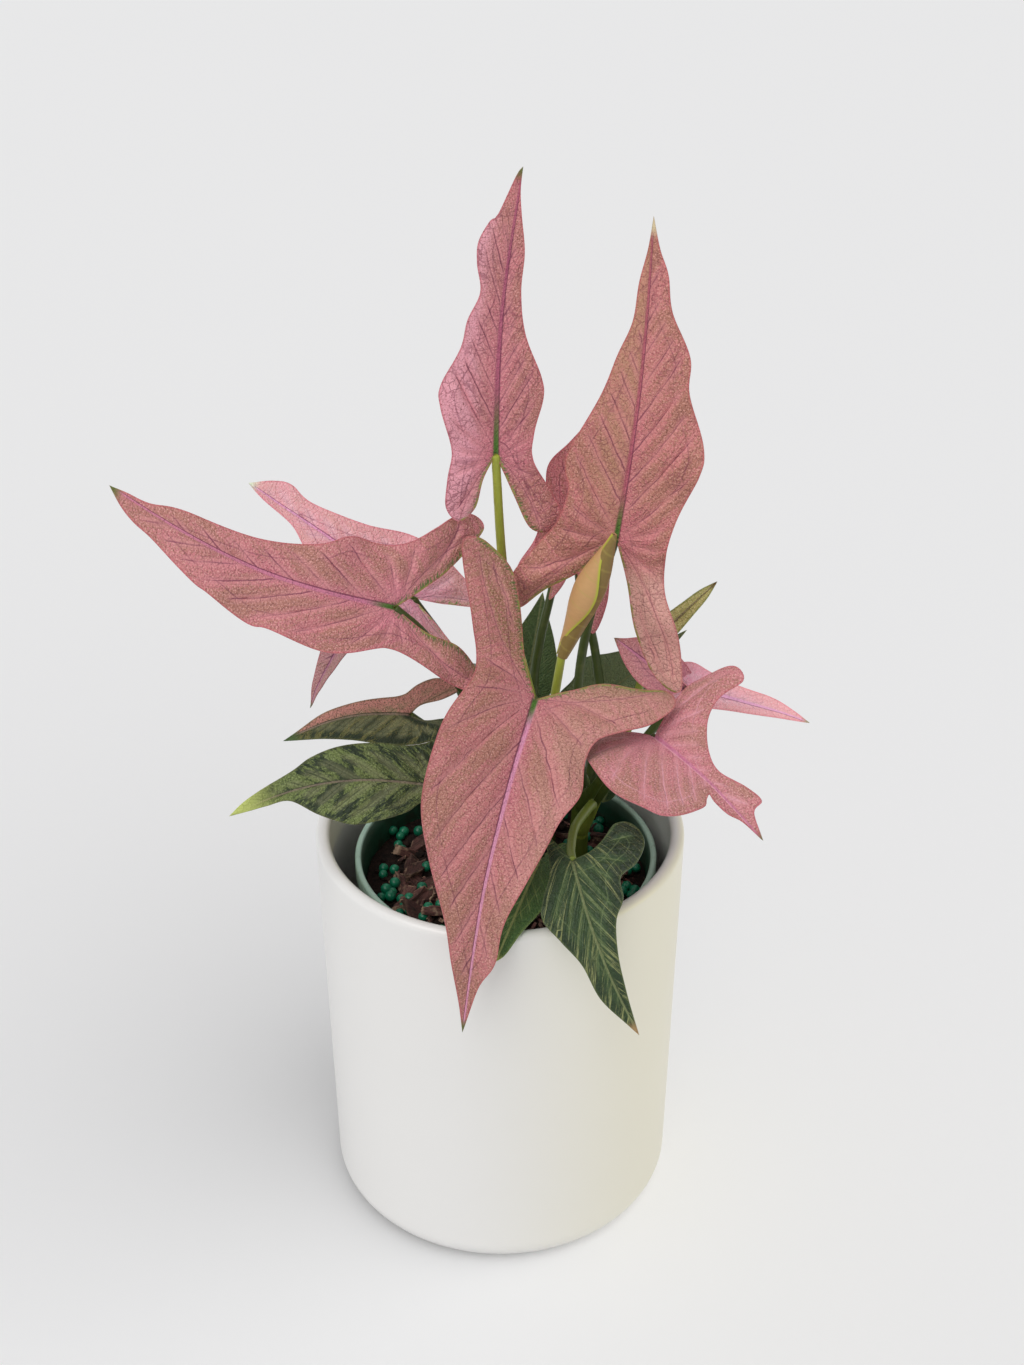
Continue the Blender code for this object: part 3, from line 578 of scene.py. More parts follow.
def leafFrame(leaf):
    # length of the midrib, and the turned axes: across, along and out of the upper side
    base = np.array(leaf["base"], float)
    chord = np.array(leaf["tip"], float) - base
    along = unit(chord)
    out = np.array(leaf["face"], float)
    out = unit(out - out.dot(along) * along)
    across = np.cross(along, out)
    half = math.radians(leaf["arch"]) / 2
    length = np.linalg.norm(chord) * half / math.sin(half)
    axes = np.stack([across, along * math.cos(half) + out * math.sin(half),
                     out * math.cos(half) - along * math.sin(half)])
    return length, axes


def bend(leaf, flat, relief):
    # the CAD source's bend, with the skin's own relief added to the rise
    length, axes = leafFrame(leaf)
    across, along = flat[:, 0], flat[:, 1]
    fold = np.radians(np.where(across < 0, *leaf["fold"]))
    edge = np.clip(np.abs(across) / 15, 0, 1.5) ** 2
    ripple = leaf.get("ripple", blade["ripple"])
    wave = ripple * edge * np.sin(2 * math.pi * along / blade["rippleLength"] + np.sign(across))
    rise = np.abs(across) * np.sin(fold) + wave + relief
    share = np.clip(along / length, 0, 1)
    sideways = across * np.cos(fold) + leaf.get("sway", 0) * np.sin(math.pi * share)
    radius = length / math.radians(leaf["arch"])
    turn = np.maximum(along, 0) / radius
    lift = math.radians(leaf.get("lift", 0)) + 1e-6
    hinge = blade["lobeHinge"]
    back = np.maximum(-along, 0)
    tilt = np.minimum(back / hinge, 1) * lift
    beyond = np.maximum(back - hinge, 0)
    forward = radius * np.sin(turn) - np.sin(tilt) * hinge / lift - beyond * math.cos(lift)
    upward = (1 - np.cos(tilt)) * hinge / lift + beyond * math.sin(lift) - radius * (1 - np.cos(turn))
    forward += rise * np.sin(turn + tilt)
    upward += rise * np.cos(turn + tilt)
    return np.array(leaf["base"], float) + np.stack([sideways, forward, upward], 1) @ axes


def distances(points, line, closed=False):
    # shortest distance from each point to the line
    ends = np.roll(line, -1, axis=0) if closed else line[1:]
    starts = line if closed else line[:-1]
    run = ends - starts
    size = (run ** 2).sum(1) + 1e-12
    best = np.full(len(points), 1e9)
    for chunk in range(0, len(points), 2000):
        part = points[chunk:chunk + 2000, None, :]
        share = np.clip(((part - starts) * run).sum(2) / size, 0, 1)
        gap = np.linalg.norm(starts + share[:, :, None] * run - part, axis=2)
        best[chunk:chunk + 2000] = gap.min(1)
    return best


def insideMask(points, outline):
    ends = np.roll(outline, -1, axis=0)
    x, y = points[:, 0][:, None], points[:, 1][:, None]
    crosses = (outline[:, 1] > y) != (ends[:, 1] > y)
    with np.errstate(divide="ignore", invalid="ignore"):
        run = ends - outline
        reach = outline[:, 0] + run[:, 0] * (y - outline[:, 1]) / run[:, 1]
    return ((reach > x) & crosses).sum(1) % 2 == 1


def layLeaf(leaf, cell):
    # flat points and triangles, the midrib being a run of edges, and the two lobes' inner edges
    length = leafFrame(leaf)[0]
    left = smoothPath([(0, length)] + [(-x, y) for x, y in leaf["left"]] + [(0, 0)], cell)
    right = smoothPath([(0, length)] + list(leaf.get("right", leaf["left"])) + [(0, 0)], cell)
    outline = np.vstack([left, right[-2:0:-1]])
    count, baseIndex = len(outline), len(left) - 1
    ribs = [(0, y) for y in np.arange(length - cell, cell / 2, -cell)]
    low, high = outline.min(0), outline.max(0)
    rows = []
    for i, y in enumerate(np.arange(low[1] + cell / 2, high[1], cell * 0.87)):
        x = np.arange(low[0], high[0], cell) + (i % 2) * cell / 2
        rows.append(np.stack([x, np.full(len(x), y)], 1))
    grid = np.vstack(rows)
    grid = grid[insideMask(grid, outline)]
    grid = grid[distances(grid, outline, True) > cell * 0.6]
    grid = grid[(np.abs(grid[:, 0]) > cell * 0.55) | (grid[:, 1] < 0)]
    points = np.vstack([outline, np.array(ribs), grid])
    chain = [0] + list(range(count, count + len(ribs))) + [baseIndex]
    vectors = [Vector((float(x), float(y))) for x, y in points]
    found = delaunay_2d_cdt(vectors, list(zip(chain[:-1], chain[1:])), [list(range(count))], 1, 1e-5)
    flat = np.array([tuple(v) for v in found[0]])
    lobeEnds = [left[left[:, 1].argmin()], right[right[:, 1].argmin()]]
    inner = [line[min(line[:, 1].argmin(), len(line) - 2):] for line in (left, right)]
    return flat, np.array(found[2]), outline, lobeEnds, inner


def veinFields(leaf, flat, lobeEnds, spacing, rise):
    # phase is whole on each side vein; span is the millimetres from one to the next; lobe is the
    # signed distance from the rib that runs into the lobe, positive towards the sinus
    length = leafFrame(leaf)[0]
    across, along = flat[:, 0], flat[:, 1]
    reach = np.abs(across) + 1e-6
    lowest = math.radians(rise)
    slant = math.tan(lowest)
    steep, shift = blade["veinSpread"], blade["veinShift"]
    risen = along - blade["veinCurve"] * reach ** 2      # side veins sweep forward as they go out
    start = (risen - slant * reach) / (1 + steep * reach / length)
    phase, span, lobe = np.zeros(len(flat)), np.zeros(len(flat)), np.full(len(flat), 50.0)
    for sign, end in zip((-1, 1), lobeEnds):
        here = (across < 0) if sign < 0 else (across >= 0)
        front = start / spacing + shift * sign
        frontSpan = spacing * (1 + steep * reach / length) / np.hypot(1, slant + steep * start / length)
        endAngle = math.atan2(end[1], abs(end[0]))
        fans = max(2, round((lowest - endAngle) / math.radians(30)))
        step = (lowest - endAngle) / fans
        fan = (np.arctan2(risen, reach) - lowest) / step + shift * sign
        fanSpan = np.hypot(reach, risen) * step
        phase[here] = np.where(start >= 0, front, fan)[here]
        span[here] = np.where(start >= 0, frontSpan, fanSpan)[here]
        size = math.hypot(*end)
        if size < blade["leastLobe"]:
            continue
        run = np.array([abs(end[0]), end[1]]) / size
        forward = reach * run[0] + along * run[1]
        aside = -reach * run[1] + along * run[0]
        share = np.clip(forward / size, 0, 1)
        bow = blade["lobeBow"] * size * 4 * share * (1 - share)
        past = np.maximum(forward - size * 0.9, 0) + np.maximum(-forward, 0) * 3
        value = -(aside - bow)
        value = value + np.where(value < 0, -past, past)
        lobe[here] = value[here]
    return phase, span, lobe


def makeLeaf(name, look):
    leaf = leafShapes[name]
    length, axes = leafFrame(leaf)
    cell = min(blade["cell"], length / 12)
    flat, triangles, outline, lobeEnds, inner = layLeaf(leaf, cell)
    across, along = flat[:, 0], flat[:, 1]
    edge = distances(flat, outline, True)
    sinus = np.minimum(distances(flat, inner[0]), distances(flat, inner[1]))
    spacing = blade["veinSpacing"] * length * look.get("veins", 1)
    phase, span, lobe = veinFields(leaf, flat, lobeEnds, spacing, look.get("rise", blade["veinRise"]))
    seed = look["seed"]
    size = min(1.0, length / 60)
    fade = ease(0.3, 6, edge) * ease(0.5, 6, np.abs(across) + np.where(along < 0, -along, 0))
    nearVein = np.abs(phase - np.round(phase)) * span
    skewed = (phase - np.floor(phase)) ** blade["skew"]
    swell = np.sin(math.pi * skewed) ** 0.8 * fade * np.clip(span / 11, 0, 1.2)
    relief = blade["quilt"] * size * swell
    line = np.exp(-(nearVein / blade["veinWidth"]) ** 2) * fade
    relief -= blade["veinGroove"] * size * line
    ribShare = np.clip(1 - along / length, 0, 1) ** 0.5 * (along > -0.5)
    relief -= blade["ribGroove"] * size * np.exp(-(across / 0.8) ** 2) * ribShare
    relief -= blade["lobeGroove"] * size * np.exp(-(lobe / 0.8) ** 2)
    spots = np.column_stack([flat, np.zeros(len(flat))])
    relief += blade["edgeWave"] * size * roughness(spots, 9, seed) * (1 - ease(0, 9, edge))
    relief += blade["sag"] * size * roughness(spots, 20, seed + 5) * ease(2, 14, np.hypot(across, along))
    points = bend(leaf, flat, relief)
    vertex = cornerNormals(points, triangles)
    if vertex.mean(0).dot(axes[2]) < 0:
        vertex = -vertex
    thin = blade["edgeThickness"]
    thick = thin + (blade["thickness"] - thin) * ease(0, 1.4, edge)
    ridge = blade["ribRidge"] * size * np.exp(-(across / 1.1) ** 2) * ribShare
    ridge += blade["lobeRidge"] * size * np.exp(-(lobe / 0.9) ** 2)
    ridge += blade["veinRidge"] * size * line
    count = len(points)
    top = points + vertex * (thick * 0.5)[:, None]
    low = points - vertex * (thick * 0.5 + ridge * ease(0, 2, edge))[:, None]
    skin = makeLeafMaterial(name, look, length)
    made = makeMesh(name + "_blade", np.vstack([top, low]), sheetFaces(triangles, count), [skin], 75)
    under = np.repeat((0, 1), count)
    keepVectors(made, "leafMap", np.tile(np.column_stack([across, along, edge]), (2, 1)))
    keepVectors(made, "veinMap", np.tile(np.column_stack([phase, span, lobe]), (2, 1)))
    keepVectors(made, "markMap", np.column_stack([under, np.tile(sinus, 2), under]))
    return dress(made, look.get("slot", "leaf_" + look["paint"]), look.get("node", name))


# pleatHighlight is a painted highlight: pale bands beside the side veins and the lobe ribs.
# Paints for the leaves. main and tan share the ground in streaks along the side veins, light and
# speck make the grain, and marble is the second colour, whose share grows with marbleBias and, near
# the sinus, with sinusBias. fineness is how close the streaks lie, and gloss the least roughness.
# The rest are drawn on top: the halves (left or right Paint, over Span millimetres from the midrib)
# and their lobes, the net, the veins, whose colour also paints the groove shadow beside the midrib,
# the base, the margin, and the tip from tipFrom of the length.
# "all" holds what the paints share, and a leaf's own look can change any of it.
leafPaints = {
    "all": dict(tint=(1, 1, 1), tanBias=0.0, baseGreen=0, basePaint=(78, 120, 44), tipFade=2.0,
                sinusReach=4.0, streaks=0.25, fineness=0.8, grainScale=1.6, fleckScale=2.0,
                streakScale=0.3, marbleScale=0.9, netScale=0.42, rimVein=4.6, sheen=0.06, bump=0.27),
    "pink": dict(
        main=(208, 130, 133), light=(244, 188, 180), speck=(110, 68, 66), tan=(158, 122, 88),
        marble=(88, 116, 58), veinAndGrooveShade=(120, 54, 80), pleatHighlight=(230, 156, 160), rib=(218, 134, 166),
        blush=(220, 118, 150), margin=(198, 96, 106), under=(204, 146, 146), net=(128, 60, 78),
        tipPaint=(112, 120, 62), seam=(128, 164, 66), grain=0.72, specks=0.78, tanShare=0.55,
        lobeTan=0.5, netShare=0.15, lineShare=0.75, blushShare=0.55, marbleBias=-0.42,
        sinusBias=0.39, sinusReach=5.0, tipFrom=0.965, baseGreen=11, ribWidth=1.15, gloss=0.4),
    "marbled": dict(
        main=(124, 140, 76), light=(172, 184, 122), speck=(44, 60, 34), tan=(88, 100, 56),
        marble=(26, 44, 28), veinAndGrooveShade=(52, 66, 40), pleatHighlight=(158, 160, 118), rib=(158, 138, 122),
        blush=(126, 128, 84), margin=(100, 104, 58), under=(120, 138, 100), net=(58, 76, 42),
        tipPaint=(186, 190, 92), seam=(104, 132, 66), grain=0.7, specks=0.8, tanShare=0.7,
        lobeTan=0.1, netShare=0.25, lineShare=0.6, blushShare=0.1, marbleBias=0.03,
        sinusBias=0.1, tipFrom=0.88, ribWidth=0.75, streaks=0.17, fineness=0.52, gloss=0.34),
    "green": dict(
        main=(46, 70, 38), light=(72, 98, 56), speck=(28, 46, 26), tan=(60, 82, 44),
        marble=(150, 154, 100), veinAndGrooveShade=(112, 128, 82), pleatHighlight=(66, 92, 54), rib=(136, 142, 98),
        blush=(60, 84, 46), margin=(88, 100, 56), under=(92, 118, 84), net=(84, 104, 64),
        tipPaint=(140, 148, 84), seam=(92, 118, 60), grain=0.6, specks=0.5, tanShare=0.6,
        lobeTan=0.0, netShare=0.2, lineShare=0.6, blushShare=0.0, marbleBias=-0.5,
        sinusBias=0.0, tipFrom=0.97, ribWidth=0.6, gloss=0.27),
}
leafLooks = {
    "leaf_top": dict(
        paint="pink", seed=1, baseGreen=24, veins=0.8, rise=58, tanShare=0.42, sinusBias=0.47,
        # painted light: the left half is painted paler and pinker, as if lit more strongly by the key lamp
        leftPaint=(250, 184, 200), leftSpan=(2, 9), leftShare=0.75, netShare=0.5,
        tint=(0.98, 0.93, 0.95), rib=(176, 84, 120)),
    "leaf_upper_right": dict(
        paint="pink", seed=2, rise=52, veins=0.8, tint=(0.93, 0.88, 0.83), tipPaint=(226, 212, 176),
        tipFrom=0.95, leftPaint=(196, 158, 122), leftSpan=(16, 1), leftShare=0.55, netShare=0.35,
        tanBias=0.05, rightLobe=(240, 190, 184), baseGreen=18, sinusBias=0.42, rib=(184, 88, 116)),
    "leaf_upper_rear": dict(paint="pink", seed=3, tint=(1.1, 1.02, 1.1)),
    "leaf_left_large": dict(
        paint="pink", seed=4, sinusBias=0.47, sinusReach=7.0, rise=58, tint=(1.05, 1.04, 1.07)),
    "leaf_left_back": dict(
        paint="pink", seed=5, tint=(1.5, 2.0, 2.1), tanShare=0.2, netShare=0.0, lineShare=0.35,
        tipPaint=(200, 190, 160), grain=0.3, specks=0.2),
    "leaf_left_hanging": dict(paint="pink", seed=6, tint=(0.74, 0.9, 0.9), tanShare=0.5, netShare=0.0),
    "leaf_front_large": dict(
        paint="pink", seed=7, sinusBias=0.44, sinusReach=6.0, tint=(0.84, 0.83, 0.8), veins=1.25,
        rise=58, lobeTan=0.95, leftLobe=(124, 104, 62), leftPaint=(240, 184, 174), leftSpan=(2, 12),
        leftShare=0.3, rib=(255, 178, 222), ribWidth=1.3),
    "leaf_right_low": dict(
        paint="pink", seed=8, tint=(0.96, 0.98, 1.03), baseGreen=0, veinAndGrooveShade=(236, 172, 182), sinusBias=0.3,
        lobeTan=0.3),
    "leaf_right_tail": dict(
        paint="pink", seed=9, tint=(1.6, 2.15, 2.15), baseGreen=0, tanShare=0.1, grain=0.3, specks=0.2,
        netShare=0.0, lineShare=0.4),
    "leaf_right_tail_lobe": dict(
        paint="pink", seed=21, tint=(1.05, 1.15, 1.2), baseGreen=0, tanShare=0.2, netShare=0.0,
        lineShare=0.5, node="leaf_right_tail"),
    "leaf_young_right": dict(
        paint="marbled", slot="leaf_young", seed=10, main=(232, 224, 152), light=(246, 240, 190),
        tan=(190, 188, 108), speck=(140, 146, 76), margin=(120, 134, 48), pleatHighlight=(204, 196, 140),
        veinAndGrooveShade=(134, 134, 74), marbleBias=-0.4, tipPaint=(120, 90, 50), tipFrom=0.93),
    "leaf_rear_middle": dict(
        paint="green", seed=11, main=(84, 106, 62), light=(98, 120, 72), tan=(84, 104, 58)),
    "leaf_rear_right": dict(
        paint="green", seed=12, main=(112, 128, 92), light=(138, 152, 112), tan=(120, 132, 90),
        pleatHighlight=(124, 136, 96)),
    "leaf_marbled_upper": dict(
        paint="marbled", seed=13, tipPaint=(76, 100, 54), rightShare=0.95, rightPaint=(226, 158, 146),
        rightSpan=(-1, 1), marbleBias=0.06, main=(104, 104, 54), light=(140, 122, 84)),
    "leaf_marbled_lower": dict(
        paint="marbled", seed=14, tint=(0.76, 0.76, 0.76), tipPaint=(216, 228, 128), tipFrom=0.83,
        tipFade=8.0),
    "leaf_front_green": dict(
        paint="green", seed=15, marbleBias=-0.025, tipPaint=(170, 138, 96), tipFrom=0.93, streaks=0.07,
        fineness=1.5, main=(36, 54, 32), light=(58, 78, 46), tan=(46, 64, 36), leftPaint=(26, 38, 22),
        leftSpan=(8, 14), leftShare=0.85, rise=62),
    "leaf_front_green_inner": dict(paint="green", seed=16, tint=(2.05, 2.1, 1.7)),
    "leaf_small_low": dict(paint="green", seed=17, tint=(1.2, 1.2, 1.2)),
    "leaf_rear_top": dict(paint="pink", seed=18),
    "leaf_rear_low": dict(paint="marbled", seed=19),
    "leaf_rear_right_low": dict(paint="green", seed=20),
}


def makeLeafMaterial(name, look, length):
    paint = {**leafPaints["all"], **leafPaints[look["paint"]], **look}

    def tinted(key):
        # the leaf's own tint over the shared paint
        return tuple(min(1.0, c * t) for c, t in zip(colour(*paint[key])[:3], paint["tint"])) + (1.0,)

    def paintOver(key, *shares):
        nonlocal ground
        ground = mixed(times(*shares), ground, tinted(key))

    made, tree, shader = newMaterial(name + "Skin", 0.5, 0.3)
    shader.inputs["Sheen Weight"].default_value = paint["sheen"]
    across, along, edge = namedVector(tree, "leafMap")[1:]
    phase, span, lobe = namedVector(tree, "veinMap")[1:]
    under, sinus = namedVector(tree, "markMap")[1:3]
    seed = float(paint["seed"] * 7)
    flat = joined(across, along, seed)
    side = calc("ABSOLUTE", across)
    streak = joined(times(phase, span, paint["fineness"]), times(side, paint["streaks"]), seed)

    # ground: two colours in fine grain and in streaks along the side veins, duller lobes on the side
    # of the sinus, and a blush by the base and the midrib
    grain = cloudy(flat, paint["grainScale"], 3.0, 0.7)
    patches = cloudy(flat, 0.07, 2.0, 0.5)
    streaks = cloudy(streak, paint["streakScale"], 3.0, 0.6)
    dull = plus(times(grain, 0.9), paint["tanBias"] - 0.4, streaks, times(plus(patches, -0.5), 0.4))
    ground = tinted("main")
    paintOver("tan", eased(0.43, 0.66, dull), paint["tanShare"])
    paintOver("tan", eased(-0.3, 0.8, lobe), eased(5.0, -5.0, along), eased(0.3, 0.6, grain),
              paint["lobeTan"])
    fromBase = result("ShaderNodeVectorMath", {0: joined(across, along, 0.0)}, "Value",
                      operation="LENGTH")
    glow = times(eased(5.0, 0.5, side), eased(length * 0.9, 0.0, along))
    paintOver("blush", calc("MAXIMUM", eased(16.0, 1.0, fromBase), glow), paint["blushShare"])

    # a fine grain of pale and dark cells
    flecks = cloudy(flat, paint["fleckScale"], 3.0, 0.65)
    paintOver("light", eased(0.5, 0.66, flecks), paint["grain"])
    paintOver("speck", eased(0.45, 0.32, flecks), paint["specks"])

    # marbling runs in streaks along the side veins, and thickens by the sinus
    nearSinus = times(eased(paint["sinusReach"], 0.3, sinus), paint["sinusBias"])
    marble = cloudy(streak, paint["marbleScale"], 6.0, 0.78)
    marble = plus(marble, paint["marbleBias"], nearSinus)
    paintOver("marble", eased(0.5, 0.57, marble), 0.92)

    # the halves' paints and their lobes' ones, broken by the grain; leaf_top's paler left half is painted
    # light
    grainy = eased(0.25, 0.55, flecks)
    for sign, half in ((-1.0, "left"), (1.0, "right")):
        onHalf = eased(-0.3, 0.3, times(across, sign))
        if half + "Paint" in paint:
            reach = eased(*map(float, paint[half + "Span"]), side)
            paintOver(half + "Paint", onHalf, reach, grainy, paint[half + "Share"])
        if half + "Lobe" in paint:
            paintOver(half + "Lobe", onHalf, eased(-3.0, -14.0, along), grainy, 0.75)

    # the fine net, then the side veins with a painted highlight in pale bands beside them, the lobe ribs
    # with the same painted highlight, and the midrib with a painted groove shadow on one side
    offset = stretched(cloudy(flat, 0.35, output="Color"), (3.0, 3.0, 0.0))
    warped = result("ShaderNodeVectorMath", {0: flat, 1: offset}, operation="ADD")
    cells = result("ShaderNodeTexVoronoi", {"Vector": warped, "Scale": paint["netScale"]}, "Distance",
                   feature="DISTANCE_TO_EDGE")
    paintOver("net", eased(0.09, 0.02, cells), eased(0.42, 0.56, cloudy(flat, 0.12)),
              paint["netShare"])
    wander = plus(phase, times(cloudy(flat, 0.2), 0.16), -0.08)
    offVein = times(calc("PINGPONG", wander, 0.5), span)
    inward = eased(1.6, 4.0, edge)
    faint = spread(cloudy(flat, 0.11, 1.0), 0.0, 1.0, 0.2, 0.6)
    # painted highlight: a pale band on either side of each side vein, where light catches the swell
    paintOver("pleatHighlight", eased(2.2, 0.3, offVein), inward, 0.45)
    drawn = plus(times(eased(3.0, 18.0, fromBase), 0.65), 0.35)
    drawn = times(drawn, inward, faint, paint["lineShare"])
    paintOver("veinAndGrooveShade", eased(0.34, 0.1, offVein), drawn)
    finer = plus(times(wander, 4.0), times(patches, 1.5))
    between = times(calc("PINGPONG", finer, 0.5), span, 0.25)
    paintOver("veinAndGrooveShade", eased(0.22, 0.06, between), drawn, 0.25)
    paintOver("veinAndGrooveShade", eased(0.3, 0.08, calc("ABSOLUTE", plus(edge, -paint["rimVein"]))), faint, 0.45)
    offLobe = calc("ABSOLUTE", lobe)
    # painted highlight: a pale band on either side of each lobe rib
    paintOver("pleatHighlight", eased(1.4, 0.3, offLobe), 0.3)
    paintOver("veinAndGrooveShade", eased(0.3, 0.1, offLobe), 0.4)
    ahead = eased(-0.5, 0.5, along)
    ribWidth = spread(along, paint["ribWidth"], 0.35, 0.0, length)
    rib = times(eased(1.1, 0.4, calc("DIVIDE", side, ribWidth)), ahead)
    paintOver("rib", rib, 0.7)
    # painted shadow: a dark line on one side of the midrib, where its groove falls in shade
    offLine = calc("ABSOLUTE", plus(calc("DIVIDE", across, ribWidth), -0.75))
    paintOver("veinAndGrooveShade", eased(0.4, 0.1, offLine), ahead, 0.8)

    # green at the junction and along the sinus; then the margin, the tip and the paler underside
    if paint["baseGreen"]:
        ground = cover(ground, times(eased(paint["baseGreen"], 2.0, along), rib), paint["basePaint"])
        paintOver("seam", eased(0.9, 0.4, sinus), eased(0.42, 0.56, cloudy(flat, 0.3)))
    paintOver("margin", eased(0.7, 0.15, edge), 0.5)
    tipStart, fade = length * paint["tipFrom"], paint["tipFade"]
    tipped = plus(along, times(plus(flecks, -0.5), fade))
    paintOver("tipPaint", eased(tipStart - fade, tipStart + fade, tipped))
    paintOver("under", under, 0.7)
    feed(shader.inputs["Roughness"], spread(grain, paint["gloss"], paint["gloss"] + 0.18))
    height = plus(grain, times(eased(0.0, 0.12, cells), 0.5), times(eased(0.0, 0.5, between), 0.35))
    coat(shader, ground, height, paint["bump"], 1.0)
    return made


def makeLeaves():
    for name, look in leafLooks.items():
        made = makeLeaf(name, look)
        print("leaf", name, len(made.data.polygons), "faces")


# Stalks and stems

stems = {
    "shoot_left": dict(foot=(4, 14), top=(0, 12, 158), radius=3.6),
    "shoot_middle": dict(foot=(15, 18), top=(14, 16, 166), radius=3.8),
    "shoot_right": dict(foot=(26, 11), top=(27, 11, 154), radius=3.6),
}
stalkLook = {
    "radius": 1.35,
    "rootGrowth": 1.3,       # how much thicker a stalk is where it starts
    "stemTaper": 0.75,
    "soilTop": 120.0,
    "footDepth": 11.4,       # how deep the stems stand in the potting mix
    "sides": 16,
    "sheath": 0.38,          # how much wider a stalk is where it clasps the stem
    "voxel": 0.42,
    "green": (96, 122, 44),
    "bright": (182, 190, 70),
    "deep": (34, 46, 14),
    "fibre": (52, 70, 30),
    "mottle": (128, 132, 70),
}
# how far each stalk is towards the bright and the deep green
stalkTones = {
    "leaf_top": (0.9, 0.0), "furled_leaf": (0.9, 0.0), "leaf_front_green": (0.35, 0.1),
    "leaf_young_right": (0.6, 0.1), "other": (0.15, 0.75),
}
furled = {
    "base": (19, -8, 209),
    "tip": (34, -9, 251),
    "radii": (1.6, 2.6, 3.8, 5.0, 5.2, 4.0, 2.4, 0.9),
    "stalk": ((15, 13, 152), (16, 5, 172), (17, -3, 190)),
    "stations": 60, "turns": 90,                   # the roll's points, along and around
    "start": -95, "twist": 25, "overlap": 0.28,    # more than a full turn where it is widest
    "taper": 0.22,                                 # the inner edge lies that much nearer the middle
    "dull": (124, 106, 54), "warm": (202, 158, 108), "grain": (158, 128, 78), "rib": (176, 160, 84),
    "rim": (176, 182, 62), "inside": (196, 150, 128),
}


def makeStalkMaterial():
    made, tree, shader = newMaterial("stalkSkin", 0.4, 0.4)
    bright, deep = namedVector(tree, "stalkMap")[1:3]
    where = ownPlace(tree)
    fibre = cloudy(stretched(where, (1.0, 1.0, 0.12)), 1400.0, 3.0)
    ground = cover(colour(*stalkLook["green"]), bright, stalkLook["bright"])
    ground = cover(ground, deep, stalkLook["deep"])
    ground = cover(ground, times(fibre, 0.35), stalkLook["fibre"])
    mottle = eased(0.5, 0.7, cloudy(where, 260.0, 3.0))
    ground = cover(ground, times(mottle, 0.16), stalkLook["mottle"])
    coat(shader, ground, fibre, 0.12, 0.5)
    return made


def makeShoots():
    paint = makeStalkMaterial()
    for name, stem in stems.items():
        foot = stalkLook["soilTop"] - stalkLook["footDepth"]
        x, y = stem["foot"]
        route = smoothPath([(x, y, foot), (x, y, stalkLook["soilTop"] + 3), stem["top"]], 1.2)
        radii = np.linspace(stem["radius"], stem["radius"] * stalkLook["stemTaper"], len(route))
        radii[-4:] *= (0.95, 0.8, 0.55, 0.25)
        lines = [(route, radii, 0.15, 0.5)]
        for leafName, leaf in leafShapes.items():
            if leaf["shoot"] == name:
                out = leafFrame(leaf)[1][2]
                end = np.array(leaf["base"], float) - out * 0.5
                lines.append(stalkLine(leaf["stalk"], end, leafName))
        if name == "shoot_middle":
            lines.append(stalkLine(furled["stalk"], furled["base"], "furled_leaf"))
        tubes = gathered(tube(path, radii, stalkLook["sides"]) for path, radii, *_ in lines)
        made = makeMesh(name + "_stalks", *tubes, [paint], 60)
        skin = made.modifiers.new("skin", "REMESH")
        skin.mode = "VOXEL"
        skin.voxel_size = stalkLook["voxel"] * mm
        soft = made.modifiers.new("soft", "SMOOTH")
        soft.factor = 0.5
        soft.iterations = 4
        bakeModifiers(made)
        made.data.shade_smooth()
        places = np.array([v.co for v in made.data.vertices]) / mm
        best = np.full(len(places), 1e9)
        tones = np.zeros((len(places), 3))
        for path, _, bright, deep in lines:
            gap = distances(places, path)
            nearer = gap < best
            best[nearer] = gap[nearer]
            tones[nearer] = (bright, deep, 0)
        keepVectors(made, "stalkMap", tones)
        dress(made, "stalk", name)
        print("shoot", name, len(made.data.polygons), "faces")


def stalkLine(points, end, leafName):
    path = smoothPath(list(points) + [end], 1.5)
    share = np.linspace(0, 1, len(path))
    radii = stalkLook["radius"] * (1 + (stalkLook["rootGrowth"] - 1) * (1 - share))
    radii *= 1 + stalkLook["sheath"] * np.exp(-(share / 0.12) ** 2)
    bright, deep = stalkTones.get(leafName, stalkTones["other"])
    return path, radii, bright, deep


def bakeModifiers(made):
    graph = bpy.context.evaluated_depsgraph_get()
    done = bpy.data.meshes.new_from_object(made.evaluated_get(graph))
    made.modifiers.clear()
    made.data = done


# The rolled new leaf

def makeFurledMaterial():
    made, tree, shader = newMaterial("furledSkin", 0.42, 0.35)
    turn, height, rim = namedVector(tree, "rollMap")[1:]
    inside = namedVector(tree, "rollSide")[1]
    grain = cloudy(joined(times(turn, 20.0), times(height, 45.0), 4.0), 1.2, 4.0, 0.65)
    ribs = calc("PINGPONG", plus(times(height, 9.0), turn), 0.5)
    ground = colour(*furled["dull"])
    for share, paint in ((eased(0.2, 0.75, turn), "warm"), (times(grain, 0.45), "grain"),
                         (times(eased(0.12, 0.0, ribs), 0.3), "rib"), (eased(0.9, 0.1, rim), "rim"),
                         (times(inside, 0.6), "inside")):
        ground = cover(ground, share, furled[paint])
    coat(shader, ground, grain, 0.1, 0.6)
    return made


